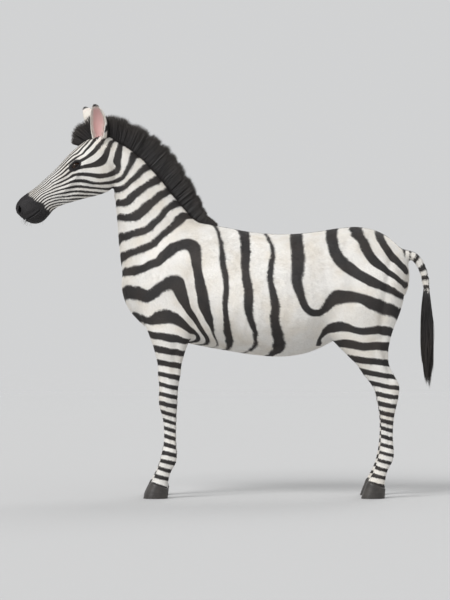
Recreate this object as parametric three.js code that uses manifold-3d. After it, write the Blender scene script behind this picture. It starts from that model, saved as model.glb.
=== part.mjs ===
// A life-size plains zebra standing square with its head held high, as a set of closed solids.
// Millimetres, +Z up. The nose points to -X and the animal's left side to -Y.
// The origin is on the ground, under the middle of the bounding box.

import * as THREE from 'three';
import { mergeVertices } from 'three/addons/utils/BufferGeometryUtils.js';
import Module from 'manifold-3d';

const wasm = await Module();
wasm.setup();

// ---------------------------------------------------------------------------------------------
// Driving dimensions
// ---------------------------------------------------------------------------------------------

const SHIFT_X = 193;          // carries the sketch frame, zero behind the ribs, to the origin
const GAP = 0.3;              // kept between neighbouring solids
const SEAM = 0.4;             // thickness of the cuts that part the torso

const HEAD_POLL = [-755, 1676];   // the poll, side view, on the head's own axis
const HEAD_PITCH = 40;            // degrees that the head's axis drops below level
const FORELEG_CUT = 850;          // height where a foreleg ends inside the chest
const HINDLEG_CUT = 900;          // height where a hind leg ends inside the rump

const EYE = { s: 176, u: 4, y: 87, radius: 21 };
const EAR = { s: 14, u: 30, y: 50, length: 172, splay: 15, turn: 58, wall: 9 };
const EAR_LEAN = { left: 8, right: 27 };      // degrees towards the nose: the right ear points forward

// ---------------------------------------------------------------------------------------------
// Stations. Each row is one cross-section of a limb, seen from the side and in order:
//   [x, z] of its upper or front point, [x, z] of its lower or rear point,
//   half width, how far off the midline its centre is, where it is widest (0 at the first
//   point, 1 at the second), and its squareness (2 is an ellipse).
// ---------------------------------------------------------------------------------------------

const TRUNK = [
  [[-680, 1050], [-674, 944], 62, 0, 0.5, 2.0],     // breast
  [[-650, 1122], [-640, 868], 118, 0, 0.5, 2.1],    // point of shoulder
  [[-570, 1212], [-560, 792], 166, 0, 0.5, 2.1],
  [[-450, 1283], [-450, 742], 194, 0, 0.52, 2.0],   // forelegs
  [[-330, 1300], [-332, 712], 218, 0, 0.58, 1.9],   // withers
  [[-200, 1280], [-205, 690], 252, 0, 0.57, 1.95],
  [[-60, 1254], [-62, 667], 280, 0, 0.56, 2.0],     // last ribs
  [[80, 1245], [82, 658], 287, 0, 0.56, 2.05],      // belly
  [[210, 1253], [216, 682], 272, 0, 0.55, 2.05],
  [[330, 1272], [336, 742], 247, 0, 0.52, 2.05],    // flank
  [[440, 1280], [450, 812], 228, 0, 0.52, 2.0],     // croup
  [[540, 1254], [548, 866], 200, 0, 0.52, 2.0],
  [[615, 1198], [618, 905], 156, 0, 0.5, 2.0],
  [[664, 1128], [664, 956], 92, 0, 0.5, 2.0],       // buttock
];

const NECK = [
  [[-262, 1262], [-600, 850], 164, 0, 0.52, 2.0],
  [[-335, 1315], [-660, 985], 148, 0, 0.56, 2.0],   // base, withers to breast
  [[-385, 1372], [-688, 1100], 122, 0, 0.58, 2.0],
  [[-432, 1432], [-700, 1215], 101, 0, 0.58, 2.0],
  [[-482, 1498], [-709, 1325], 87, 0, 0.56, 2.05],
  [[-540, 1562], [-718, 1412], 78, 0, 0.54, 2.1],
  [[-606, 1622], [-730, 1468], 73, 0, 0.52, 2.1],   // throat
  [[-678, 1672], [-752, 1505], 69, 0, 0.5, 2.1],
  [[-742, 1700], [-790, 1535], 66, 0, 0.5, 2.1],    // inside the head
];

// The head's rows are in its own frame: each point is [distance from the poll along the axis,
// height above the axis], first on the forehead and nose, then along the jaw.
const HEAD = [
  [[-24, 20], [-34, -58], 42, 0, 0.5, 2.0],
  [[4, 46], [-6, -112], 62, 0, 0.48, 2.1],        // poll
  [[46, 62], [40, -160], 80, 0, 0.45, 2.2],
  [[92, 70], [86, -187], 92, 0, 0.4, 2.3],        // forehead and angle of the jaw
  [[136, 71], [130, -192], 100, 0, 0.36, 2.35],
  [[178, 68], [172, -182], 102, 0, 0.34, 2.35],   // orbits
  [[222, 62], [214, -163], 91, 0, 0.37, 2.35],
  [[268, 57], [260, -141], 77, 0, 0.41, 2.35],    // front of the cheek
  [[316, 54], [308, -120], 67, 0, 0.45, 2.35],
  [[362, 52], [352, -102], 60, 0, 0.48, 2.35],
  [[404, 52], [394, -90], 58, 0, 0.49, 2.35],     // chin groove
  [[444, 56], [432, -96], 64, 0, 0.48, 2.4],      // nostrils
  [[480, 57], [464, -99], 67, 0, 0.47, 2.4],
  [[507, 51], [490, -92], 64, 0, 0.46, 2.35],     // lips
  [[526, 38], [510, -78], 55, 0, 0.46, 2.3],
  [[537, 17], [524, -54], 39, 0, 0.46, 2.2],
];

const FORELEG = [
  [[-436, 1200], [-322, 1200], 60, 70, 0.5, 2.0],    // top of the shoulder blade
  [[-545, 1100], [-326, 1105], 92, 90, 0.5, 2.0],
  [[-620, 990], [-326, 1000], 103, 97, 0.5, 2.0],    // shoulder
  [[-606, 885], [-318, 892], 90, 110, 0.5, 2.1],
  [[-566, 790], [-334, 795], 72, 127, 0.5, 2.2],     // elbow
  [[-534, 700], [-368, 703], 60, 133, 0.5, 2.1],     // forearm
  [[-515, 610], [-393, 612], 49, 134, 0.5, 2.1],
  [[-505, 530], [-410, 530], 40, 133, 0.5, 2.2],
  [[-507, 475], [-415, 473], 42, 132, 0.5, 2.4],     // knee
  [[-503, 428], [-417, 424], 38, 131, 0.5, 2.4],
  [[-489, 385], [-420, 383], 30, 130, 0.5, 2.2],
  [[-482, 320], [-422, 320], 25, 129, 0.5, 2.1],     // cannon
  [[-484, 255], [-422, 253], 25, 128, 0.5, 2.1],
  [[-493, 214], [-418, 205], 31, 127, 0.52, 2.2],    // fetlock
  [[-499, 184], [-422, 167], 31, 127, 0.52, 2.2],
  [[-513, 138], [-447, 121], 26, 126, 0.5, 2.1],     // pastern
  [[-532, 97], [-460, 66], 33, 126, 0.45, 2.1],
  [[-545, 75], [-458, 44], 39, 126, 0.42, 2.1],      // coronet
  [[-573, 18], [-461, 14], 46, 126, 0.42, 2.1],
  [[-578, 0], [-462, 0], 47, 126, 0.42, 2.1],        // sole
];

const HINDLEG = [
  [[330, 1205], [545, 1205], 66, 82, 0.5, 2.0],      // croup
  [[262, 1090], [628, 1090], 116, 108, 0.5, 2.1],
  [[238, 975], [658, 985], 122, 118, 0.5, 2.1],      // thigh
  [[240, 878], [642, 890], 110, 128, 0.46, 2.1],
  [[268, 792], [612, 812], 90, 137, 0.44, 2.2],      // stifle
  [[334, 712], [590, 738], 70, 140, 0.46, 2.1],
  [[404, 642], [584, 662], 55, 140, 0.48, 2.1],      // gaskin
  [[462, 576], [597, 594], 44, 136, 0.5, 2.1],
  [[506, 516], [628, 537], 37, 132, 0.48, 2.2],      // point of hock
  [[520, 468], [626, 480], 39, 131, 0.45, 2.3],
  [[530, 420], [614, 426], 34, 130, 0.46, 2.3],
  [[537, 368], [603, 370], 27, 130, 0.48, 2.1],
  [[538, 292], [599, 292], 25, 130, 0.5, 2.1],       // cannon
  [[531, 224], [604, 216], 30, 129, 0.52, 2.2],      // fetlock
  [[525, 192], [598, 176], 30, 129, 0.52, 2.2],
  [[511, 144], [573, 128], 26, 128, 0.5, 2.1],       // pastern
  [[490, 102], [561, 70], 32, 128, 0.45, 2.1],
  [[477, 80], [562, 46], 38, 128, 0.42, 2.1],        // coronet
  [[452, 18], [560, 14], 44, 128, 0.42, 2.1],
  [[447, 0], [559, 0], 45, 128, 0.42, 2.1],          // sole
];

const TAIL = [
  [[588, 1168], [598, 1108], 30, 0, 0.5, 2.0],       // inside the rump
  [[640, 1176], [634, 1122], 30, 0, 0.5, 2.0],
  [[694, 1166], [672, 1120], 25, 0, 0.5, 2.0],
  [[738, 1128], [703, 1098], 22, 0, 0.5, 2.0],
  [[764, 1070], [723, 1056], 20, 0, 0.5, 2.0],
  [[776, 1000], [737, 996], 18, 0, 0.5, 2.0],
  [[778, 925], [743, 925], 17, 0, 0.5, 2.0],
  [[776, 862], [744, 862], 16, 0, 0.5, 2.0],
];

const TUFT = [
  [[776.3, 861.5], [743.7, 861.5], 16.5, 0, 0.5, 2.0],
  [[787, 820], [736, 818], 25, 0, 0.5, 2.0],
  [[795, 750], [728, 745], 33, 0, 0.5, 2.0],
  [[797, 675], [727, 668], 34, 0, 0.5, 2.0],
  [[794, 605], [733, 598], 29, 0, 0.5, 2.0],
  [[788, 548], [745, 543], 20, 0, 0.5, 2.0],
  [[780, 505], [760, 502], 8, 0, 0.5, 2.0],
];

// The mane's rows: the root on the crest, the way that the hair stands (degrees, 0 is towards
// the nose and 90 is up), its length, and the half width of the root.
const MANE = [
  [-884, 1659, 16, 34, 7],
  [-858, 1675, 24, 72, 14],       // forelock
  [-826, 1693, 40, 96, 19],
  [-790, 1708, 62, 106, 22],      // poll
  [-742, 1702, 86, 112, 23],
  [-678, 1672, 109, 118, 24],
  [-606, 1622, 123, 124, 25],
  [-540, 1562, 131, 126, 25],
  [-482, 1498, 136, 120, 25],
  [-432, 1432, 139, 108, 24],
  [-385, 1372, 138, 90, 22],
  [-338, 1322, 132, 66, 18],
  [-288, 1294, 122, 38, 12],      // withers
  [-232, 1280, 112, 12, 6],
];
const MANE_ROOT = 34;             // how far the mane's section starts below the crest

// ---------------------------------------------------------------------------------------------
// Finishes
// ---------------------------------------------------------------------------------------------

const finish = (color, roughness) => new THREE.MeshStandardMaterial({ color, roughness, metalness: 0 });

const COAT = finish(0xf1ece3, 0.75);
const MANE_HAIR = finish(0x2a2725, 0.8);
const HOOF_HORN = finish(0x3a3431, 0.55);
const EYE_GLOSS = finish(0x1c120c, 0.1);

// ---------------------------------------------------------------------------------------------
// Lofts
// ---------------------------------------------------------------------------------------------

const DEG = Math.PI / 180;
const mix = (a, b, t) => a + (b - a) * t;

// A cubic that passes through b and c, and heads there as the line a to d does.
const flow = (a, b, c, d, t) =>
  b + 0.5 * t * (c - a + t * (2 * a - 5 * b + 4 * c - d + t * (3 * (b - c) + d - a)));

// Flat copies of the rows with extra ones between them, so that a limb bends smoothly.
function refine(rows, steps) {
  const flat = rows.map((row) => row.flat());
  const at = (i) => flat[Math.min(Math.max(i, 0), flat.length - 1)];
  const fine = [];
  for (let i = 0; i < flat.length - 1; i++)
    for (let k = 0; k < steps; k++)
      fine.push(flat[i].map((_, j) => flow(at(i - 1)[j], at(i)[j], at(i + 1)[j], at(i + 2)[j], k / steps)));
  fine.push(flat.at(-1));
  return fine;
}

// One closed section: a superellipse between the row's two side-view points.
function ring([ax, az, bx, bz, half, off, widest, square], side, segments, grow) {
  const depth = Math.hypot(ax - bx, az - bz);
  const up = [(ax - bx) / depth, (az - bz) / depth];
  const above = depth * widest + grow;
  const below = depth * (1 - widest) + grow;
  const middle = [mix(ax, bx, widest), mix(az, bz, widest)];
  const points = [];
  for (let k = 0; k < segments; k++) {
    const turn = (2 * Math.PI * k) / segments;
    const bend = (v) => Math.sign(v) * Math.abs(v) ** (2 / square);
    const rise = bend(Math.cos(turn));
    const reach = rise * (rise > 0 ? above : below);
    const out = bend(Math.sin(turn)) * (half + grow);
    points.push(new THREE.Vector3(middle[0] + up[0] * reach, side * off + out, middle[1] + up[1] * reach));
  }
  return points;
}

// A closed solid through rings of equal length, each end closed on a point `bulge` beyond it.
function skin(rings, bulge = [0, 0]) {
  const count = rings[0].length;
  const centre = (points) => points.reduce((sum, p) => sum.add(p), new THREE.Vector3()).divideScalar(count);
  const positions = rings.flat().flatMap((p) => p.toArray());
  const index = [];
  for (let i = 0; i < rings.length - 1; i++)
    for (let k = 0; k < count; k++) {
      const a = i * count + k;
      const b = i * count + ((k + 1) % count);
      index.push(a, b, a + count, b, b + count, a + count);
    }
  for (const [end, next, beyond] of [[0, 1, bulge[0]], [rings.length - 1, rings.length - 2, bulge[1]]]) {
    const middle = centre(rings[end]);
    const away = middle.clone().sub(centre(rings[next])).setLength(beyond);
    positions.push(...middle.add(away).toArray());
    const pole = positions.length / 3 - 1;
    for (let k = 0; k < count; k++) {
      const a = end * count + k;
      const b = end * count + ((k + 1) % count);
      index.push(...(end === 0 ? [b, a, pole] : [a, b, pole]));
    }
  }
  const geometry = new THREE.BufferGeometry();
  geometry.setAttribute('position', new THREE.Float32BufferAttribute(positions, 3));
  geometry.setIndex(index);
  return geometry;
}

const loft = (rows, { side = 1, segments = 16, steps = 1, grow = 0, bulge = [0, 0] } = {}) =>
  skin(refine(rows, steps).map((row) => ring(row, side, segments, grow)), bulge.map((b) => (b ? b + grow : 0)));

// ---------------------------------------------------------------------------------------------
// Solids, and the way back to meshes
// ---------------------------------------------------------------------------------------------

// A manifold-3d solid of a geometry, with its faces turned outwards.
function solid(geometry) {
  const bare = new THREE.BufferGeometry().setAttribute('position', geometry.getAttribute('position'));
  bare.setIndex(geometry.index);
  const merged = mergeVertices(bare, 1e-3);
  const corners = new Uint32Array(merged.index.array);
  const make = () => new wasm.Manifold(new wasm.Mesh({
    numProp: 3, vertProperties: merged.attributes.position.array, triVerts: corners,
  }));
  const made = make();
  if (made.volume() > 0) return made;
  for (let i = 0; i < corners.length; i += 3)
    [corners[i + 1], corners[i + 2]] = [corners[i + 2], corners[i + 1]];
  return make();
}

function geometryOf(body) {
  const { numProp, vertProperties, triVerts } = body.getMesh();
  const positions = [];
  for (let i = 0; i < vertProperties.length; i += numProp) positions.push(...vertProperties.slice(i, i + 3));
  const geometry = new THREE.BufferGeometry();
  geometry.setAttribute('position', new THREE.Float32BufferAttribute(positions, 3));
  geometry.setIndex([...triVerts]);
  geometry.computeVertexNormals();
  return geometry;
}

const union = (...bodies) => bodies.reduce((sum, body) => sum.add(body));

// A box as a solid, placed by its centre and turned about Y, in degrees.
function block(size, centre, turn = 0) {
  const geometry = new THREE.BoxGeometry(...size);
  geometry.rotateY(turn * DEG);
  geometry.translate(...centre);
  return solid(geometry);
}

// The half of a body on one side of a height.
const WIDE = 4000;
const above = (body, height) => body.intersect(block([WIDE, WIDE, WIDE], [0, 0, height + WIDE / 2]));
const below = (body, height) => body.intersect(block([WIDE, WIDE, WIDE], [0, 0, height - WIDE / 2]));

// A thin plate between two side-view points, wider than the body, to part it along that line.
const ACROSS = 700;

function plate([x1, z1], [x2, z2]) {
  const length = Math.hypot(x2 - x1, z2 - z1);
  const turn = -Math.atan2(z2 - z1, x2 - x1) / DEG;
  return block([length, ACROSS, SEAM], [(x1 + x2) / 2, 0, (z1 + z2) / 2], turn);
}

// A body cut along a plate, as its pieces from rear to front.
const middleX = (body) => (body.boundingBox().min[0] + body.boundingBox().max[0]) / 2;
const parted = (body, cutter) => body.subtract(cutter).decompose().sort((a, b) => middleX(b) - middleX(a));

// ---------------------------------------------------------------------------------------------
// The head's frame
// ---------------------------------------------------------------------------------------------

const HEAD_AXIS = [-Math.cos(HEAD_PITCH * DEG), -Math.sin(HEAD_PITCH * DEG)];
const HEAD_UP = [-Math.sin(HEAD_PITCH * DEG), Math.cos(HEAD_PITCH * DEG)];

// Side-view x and z of a point s along the head and u above its axis.
const onHead = (s, u) => [0, 1].map((i) => HEAD_POLL[i] + HEAD_AXIS[i] * s + HEAD_UP[i] * u);
const HEAD_ROWS = HEAD.map(([top, jaw, ...rest]) => [onHead(...top), onHead(...jaw), ...rest]);

// ---------------------------------------------------------------------------------------------
// Sub-parts
// ---------------------------------------------------------------------------------------------

const SIDES = [['left', -1], ['right', 1]];

const trunk = (grow = 0) => solid(loft(TRUNK, { segments: 24, steps: 2, grow, bulge: [10, 18] }));
const neck = (grow = 0) => solid(loft(NECK, { segments: 18, steps: 2, grow }));
const head = (grow = 0) => solid(loft(HEAD_ROWS, { segments: 24, grow, bulge: [10, 5] }));
const foreleg = (side, grow = 0) => solid(loft(FORELEG, { side, segments: 16, grow }));
const hindleg = (side, grow = 0) => solid(loft(HINDLEG, { side, segments: 16, grow }));

// Shoulders and hips go with the trunk, and the legs end in it below their cuts.
const shoulders = (grow) => SIDES.map(([, side]) => above(foreleg(side, grow), FORELEG_CUT));
const hips = (grow) => SIDES.map(([, side]) => above(hindleg(side, grow), HINDLEG_CUT));
const torso = (grow = 0) => union(trunk(grow), neck(grow), head(grow), ...shoulders(grow), ...hips(grow));

// A leg as its flesh and its hoof, parted along the coronet.
function legAndHoof(whole, cut, [front, back]) {
  const coronet = plate(front, back);
  const pieces = below(whole, cut - GAP).subtract(coronet).decompose();
  return pieces.sort((a, b) => b.boundingBox().max[2] - a.boundingBox().max[2]);
}

// The eyeball, which turns its front a little forward.
function eyeball(side, grow = 0) {
  const [x, z] = onHead(EYE.s, EYE.u);
  const geometry = new THREE.SphereGeometry(EYE.radius + grow, 12, 8);
  geometry.translate(x, side * EYE.y, z);
  return solid(geometry);
}

// An ear: crescent sections up a leaf-shaped blade, rolled shut at the root and open above.
const EAR_LEAF = [
  [0, 26, 150],                   // share of the length, outer radius, half the arc in degrees
  [0.1, 31, 140],
  [0.24, 38, 120],
  [0.4, 44, 100],
  [0.56, 46, 84],
  [0.72, 42, 76],
  [0.86, 32, 72],
  [0.95, 20, 70],
  [1, 9, 66],
];
const EAR_SUNK = 30;              // length of the root inside the head

function ear(name, side) {
  const arcSteps = 8;
  const rings = EAR_LEAF.map(([share, radius, arc]) => {
    const wall = Math.min(EAR.wall, radius * 0.55);
    const height = mix(-EAR_SUNK, EAR.length, share);
    const curl = radius * (1 - share) * 0.15;   // the blade bows back a little at mid length
    const points = [];
    for (const [r, from] of [[radius, -1], [radius - wall, 1]])
      for (let k = 0; k <= arcSteps; k++) {
        const turn = from * arc * ((2 * k) / arcSteps - 1) * DEG;
        points.push(new THREE.Vector3(r * Math.cos(turn) + curl, r * Math.sin(turn), height));
      }
    return points;
  });
  const geometry = skin(rings);
  geometry.rotateZ(-side * EAR.turn * DEG);     // the opening starts at -X and turns outwards
  geometry.rotateX(-side * EAR.splay * DEG);
  geometry.rotateY(-EAR_LEAN[name] * DEG);
  const [x, z] = onHead(EAR.s, EAR.u);
  geometry.translate(x, side * EAR.y, z);
  return solid(geometry);
}

// The standing mane: leaf sections that fan round the poll and run down the crest.
function mane() {
  const rows = MANE.map(([x, z, angle, length, half]) => {
    const way = [-Math.cos(angle * DEG), Math.sin(angle * DEG)];
    const tip = [x + way[0] * length, z + way[1] * length];
    const root = [x - way[0] * MANE_ROOT, z - way[1] * MANE_ROOT];
    return [tip, root, half, 0, 0.72, 1.75];
  });
  return solid(loft(rows, { segments: 8, steps: 2 }));
}

const tail = () => solid(loft(TAIL, { segments: 10, steps: 2 }));
const tuft = () => solid(loft(TUFT, { segments: 10, steps: 2, bulge: [0, 10] }));

// ---------------------------------------------------------------------------------------------
// Assembly
// ---------------------------------------------------------------------------------------------

const HEAD_SEAM = [[-640, 1782], [-750, 1370]];     // behind the ears and the jaw
const NECK_SEAM = [[-250, 1330], [-760, 960]];      // withers to breast
const FORE_CORONET = [[-600, 84], [-400, 30]];
const HIND_CORONET = [[400, 92], [600, 28]];

const animal = new THREE.Group();
animal.position.x = SHIFT_X;

function place(name, body, material) {
  const mesh = new THREE.Mesh(geometryOf(body), material);
  mesh.name = name;
  animal.add(mesh);
}

// The flesh next to hair, ears and tail, grown by the gap that they keep.
const nearby = torso(GAP);

const legs = [];
for (const [name, side] of SIDES) {
  legs.push(below(foreleg(side, GAP), FORELEG_CUT), below(hindleg(side, GAP), HINDLEG_CUT));
  const [flesh, hoof] = legAndHoof(foreleg(side), FORELEG_CUT, FORE_CORONET);
  place(`foreleg_${name}`, flesh, COAT);
  place(`fore_hoof_${name}`, hoof, HOOF_HORN);
  const [thigh, hindHoof] = legAndHoof(hindleg(side), HINDLEG_CUT, HIND_CORONET);
  place(`hindleg_${name}`, thigh, COAT);
  place(`hind_hoof_${name}`, hindHoof, HOOF_HORN);
}

const sockets = union(...SIDES.map(([, side]) => eyeball(side, GAP)));
const whole = torso().subtract(union(...legs)).subtract(sockets);
const [body, front] = parted(whole, plate(...NECK_SEAM));
const [neckPart, headPart] = parted(front, plate(...HEAD_SEAM));
place('trunk', body, COAT);
place('neck', neckPart, COAT);
place('head', headPart, COAT);

const hair = mane().subtract(nearby);
const maneParts = hair.decompose().sort((a, b) => b.volume() - a.volume());
place('mane', maneParts[0], MANE_HAIR);

for (const [name, side] of SIDES) {
  place(`eye_${name}`, eyeball(side), EYE_GLOSS);
  place(`ear_${name}`, ear(name, side).subtract(nearby).subtract(mane()), COAT);
}

place('tail', tail().subtract(nearby), COAT);
place('tail_tuft', tuft(), MANE_HAIR);

export default animal;
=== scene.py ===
# %% [markdown]
# # A life-size plains zebra
#
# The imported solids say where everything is: head, neck, trunk, legs, ears, tail, mane, hooves
# and eyes. This script gives them their looks. The flesh becomes one seamless skin that lies
# a few millimetres inside the solids, and a coat of small tufts grows over it out to their
# surface. Hooves, eyes, mane and tail tuft are pieces of their own.
# Everything is in metres, +Z up, with the nose towards -X and the left side towards -Y.

import math

import bmesh
import bpy
import numpy as np
from mathutils import Matrix, Vector
from mathutils.bvhtree import BVHTree


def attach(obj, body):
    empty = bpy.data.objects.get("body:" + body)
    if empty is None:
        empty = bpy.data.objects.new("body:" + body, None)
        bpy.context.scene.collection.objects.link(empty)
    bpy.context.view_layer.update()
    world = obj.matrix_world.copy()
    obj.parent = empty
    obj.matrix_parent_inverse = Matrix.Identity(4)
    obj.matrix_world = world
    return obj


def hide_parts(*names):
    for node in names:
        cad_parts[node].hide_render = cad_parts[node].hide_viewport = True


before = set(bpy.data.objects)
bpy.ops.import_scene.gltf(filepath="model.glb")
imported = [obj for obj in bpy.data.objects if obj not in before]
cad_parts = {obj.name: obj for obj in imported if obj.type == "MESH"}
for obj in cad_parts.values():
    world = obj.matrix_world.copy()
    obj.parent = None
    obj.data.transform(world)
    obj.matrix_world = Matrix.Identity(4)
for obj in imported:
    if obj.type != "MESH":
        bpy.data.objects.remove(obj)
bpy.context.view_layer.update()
print("solids:", ", ".join(sorted(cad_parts)))

# %% [markdown]
# ## Camera
#
# The animal is seen in exact profile from its left. A long lens a good way off keeps the far
# legs behind the near ones, as a side-view drawing does, and a camera a little above the back
# shows some floor. The lens follows from the distance and from how much one pixel covers.

# %% Camera
PICTURE_HEIGHT = 600              # pixels along the frame's long side
METRES_PER_PIXEL = 0.00472
SENSOR = 36.0                     # millimetres along the long side
LOOK_AT = Vector((0.0, 0.0, 0.93))
CAMERA_PLACE = Vector((0.0, -34.0, 2.19))


def linked(name, data):
    """A new object in the scene."""
    made = bpy.data.objects.new(name, data)
    bpy.context.scene.collection.objects.link(made)
    return made


def aimed(name, data, place, target):
    """A camera or a lamp at a place, turned towards a target."""
    made = linked(name, data)
    made.location = place
    made.rotation_euler = (Vector(target) - Vector(place)).to_track_quat("-Z", "Y").to_euler()
    return made


camera_data = bpy.data.cameras.new("camera")
camera_data.sensor_width = SENSOR
camera_data.lens = SENSOR * (LOOK_AT - CAMERA_PLACE).length / (PICTURE_HEIGHT * METRES_PER_PIXEL)
camera_data.clip_end = 200.0
bpy.context.scene.camera = aimed("camera", camera_data, CAMERA_PLACE, LOOK_AT)
print(f"lens {camera_data.lens:.0f} mm")

# %% [markdown]
# ## The body's stations
#
# A body is easiest to describe as a few dozen cross-sections, like the frames of a boat. Each
# row gives one of them as seen from the side, in millimetres of a sketch whose zero is
# behind the ribs: its upper or front point, its lower or rear point, its half width, how far
# off the midline its middle is, where it is widest (0 at the first point, 1 at the second)
# and its squareness (2 is an ellipse). The solids of the frame were made from the same rows,
# so the skin fits them wherever it is cut finer.

# %% Stations of the trunk and neck
MM = 0.001
SHIFT_X = 193                     # from the sketch's zero to the frame's
LEFT, RIGHT = -1, 1               # the sign of y on each side

TRUNK = [
    ((-680, 1050), (-674, 944), 62, 0, 0.5, 2.0),      # breast
    ((-650, 1122), (-640, 868), 118, 0, 0.5, 2.1),     # point of shoulder
    ((-570, 1212), (-560, 792), 166, 0, 0.5, 2.1),
    ((-450, 1283), (-450, 742), 194, 0, 0.52, 2.0),    # forelegs
    ((-330, 1300), (-332, 712), 218, 0, 0.58, 1.9),    # withers
    ((-200, 1280), (-205, 690), 252, 0, 0.57, 1.95),
    ((-60, 1254), (-62, 667), 280, 0, 0.56, 2.0),      # last ribs
    ((80, 1245), (82, 658), 287, 0, 0.56, 2.05),       # belly
    ((210, 1253), (216, 682), 272, 0, 0.55, 2.05),
    ((330, 1272), (336, 742), 247, 0, 0.52, 2.05),     # flank
    ((440, 1280), (450, 812), 228, 0, 0.52, 2.0),      # croup
    ((540, 1254), (548, 866), 200, 0, 0.52, 2.0),
    ((615, 1198), (618, 905), 156, 0, 0.5, 2.0),
    ((664, 1128), (664, 956), 92, 0, 0.5, 2.0),        # buttock
    ((678, 1062), (678, 1022), 26, 0, 0.5, 2.0),
]

NECK = [
    ((-262, 1262), (-600, 850), 164, 0, 0.52, 2.0),
    ((-335, 1315), (-660, 985), 148, 0, 0.56, 2.0),    # base, withers to breast
    ((-385, 1372), (-688, 1100), 122, 0, 0.58, 2.0),
    ((-432, 1432), (-700, 1215), 101, 0, 0.58, 2.0),
    ((-482, 1498), (-709, 1325), 87, 0, 0.56, 2.05),
    ((-540, 1562), (-718, 1412), 78, 0, 0.54, 2.1),
    ((-606, 1622), (-730, 1468), 73, 0, 0.52, 2.1),    # throat
    ((-678, 1672), (-752, 1505), 69, 0, 0.5, 2.1),
    ((-742, 1700), (-790, 1535), 66, 0, 0.5, 2.1),     # inside the head
]

# %% [markdown]
# The head has its own frame: `s` runs from the poll along the head towards the muzzle and
# `u` rises from that axis to the forehead. One pair of angles then tips the whole head.

# %% Stations of the head
HEAD_POLL = np.array([-755.0, 1676.0])
HEAD_PITCH = math.radians(40)
HEAD_AXIS = np.array([-math.cos(HEAD_PITCH), -math.sin(HEAD_PITCH)])
HEAD_UP = np.array([-math.sin(HEAD_PITCH), math.cos(HEAD_PITCH)])

HEAD_SU = [
    ((-24, 20), (-34, -58), 42, 0, 0.5, 2.0),
    ((4, 46), (-6, -112), 62, 0, 0.48, 2.1),           # poll
    ((46, 62), (40, -160), 80, 0, 0.45, 2.2),
    ((92, 70), (86, -187), 92, 0, 0.4, 2.3),           # forehead and angle of the jaw
    ((136, 71), (130, -192), 100, 0, 0.36, 2.35),
    ((178, 68), (172, -182), 102, 0, 0.34, 2.35),      # orbits
    ((222, 62), (214, -163), 91, 0, 0.37, 2.35),
    ((268, 57), (260, -141), 77, 0, 0.41, 2.35),       # front of the cheek
    ((316, 54), (308, -120), 67, 0, 0.45, 2.35),
    ((362, 52), (352, -102), 60, 0, 0.48, 2.35),
    ((404, 52), (394, -90), 58, 0, 0.49, 2.35),        # chin groove
    ((444, 56), (432, -96), 64, 0, 0.48, 2.4),         # nostrils
    ((480, 57), (464, -99), 67, 0, 0.47, 2.4),
    ((507, 51), (490, -92), 64, 0, 0.46, 2.35),        # lips
    ((526, 38), (510, -78), 55, 0, 0.46, 2.3),
    ((537, 17), (524, -54), 39, 0, 0.46, 2.2),
]


def on_head(s, u):
    """Sketch x and z of a point s along the head and u above its axis."""
    return HEAD_POLL + HEAD_AXIS * s + HEAD_UP * u


HEAD = [(on_head(*top), on_head(*jaw), *rest) for top, jaw, *rest in HEAD_SU]

# %% Stations of the legs and tail
FORELEG = [
    ((-436, 1200), (-322, 1200), 60, 70, 0.5, 2.0),    # top of the shoulder blade
    ((-545, 1100), (-326, 1105), 92, 90, 0.5, 2.0),
    ((-620, 990), (-326, 1000), 103, 97, 0.5, 2.0),    # shoulder
    ((-606, 885), (-318, 892), 90, 110, 0.5, 2.1),
    ((-566, 790), (-334, 795), 72, 127, 0.5, 2.2),     # elbow
    ((-534, 700), (-368, 703), 60, 133, 0.5, 2.1),     # forearm
    ((-515, 610), (-393, 612), 49, 134, 0.5, 2.1),
    ((-505, 530), (-410, 530), 40, 133, 0.5, 2.2),
    ((-507, 475), (-415, 473), 42, 132, 0.5, 2.4),     # knee
    ((-503, 428), (-417, 424), 38, 131, 0.5, 2.4),
    ((-489, 385), (-420, 383), 30, 130, 0.5, 2.2),
    ((-482, 320), (-422, 320), 25, 129, 0.5, 2.1),     # cannon
    ((-484, 255), (-422, 253), 25, 128, 0.5, 2.1),
    ((-493, 214), (-418, 205), 31, 127, 0.52, 2.2),    # fetlock
    ((-499, 184), (-422, 167), 31, 127, 0.52, 2.2),
    ((-513, 138), (-447, 121), 26, 126, 0.5, 2.1),     # pastern
    ((-532, 97), (-460, 66), 33, 126, 0.45, 2.1),
    ((-545, 75), (-458, 44), 39, 126, 0.42, 2.1),      # coronet
    ((-573, 18), (-461, 14), 46, 126, 0.42, 2.1),
    ((-578, 0), (-462, 0), 47, 126, 0.42, 2.1),        # sole
]

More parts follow.
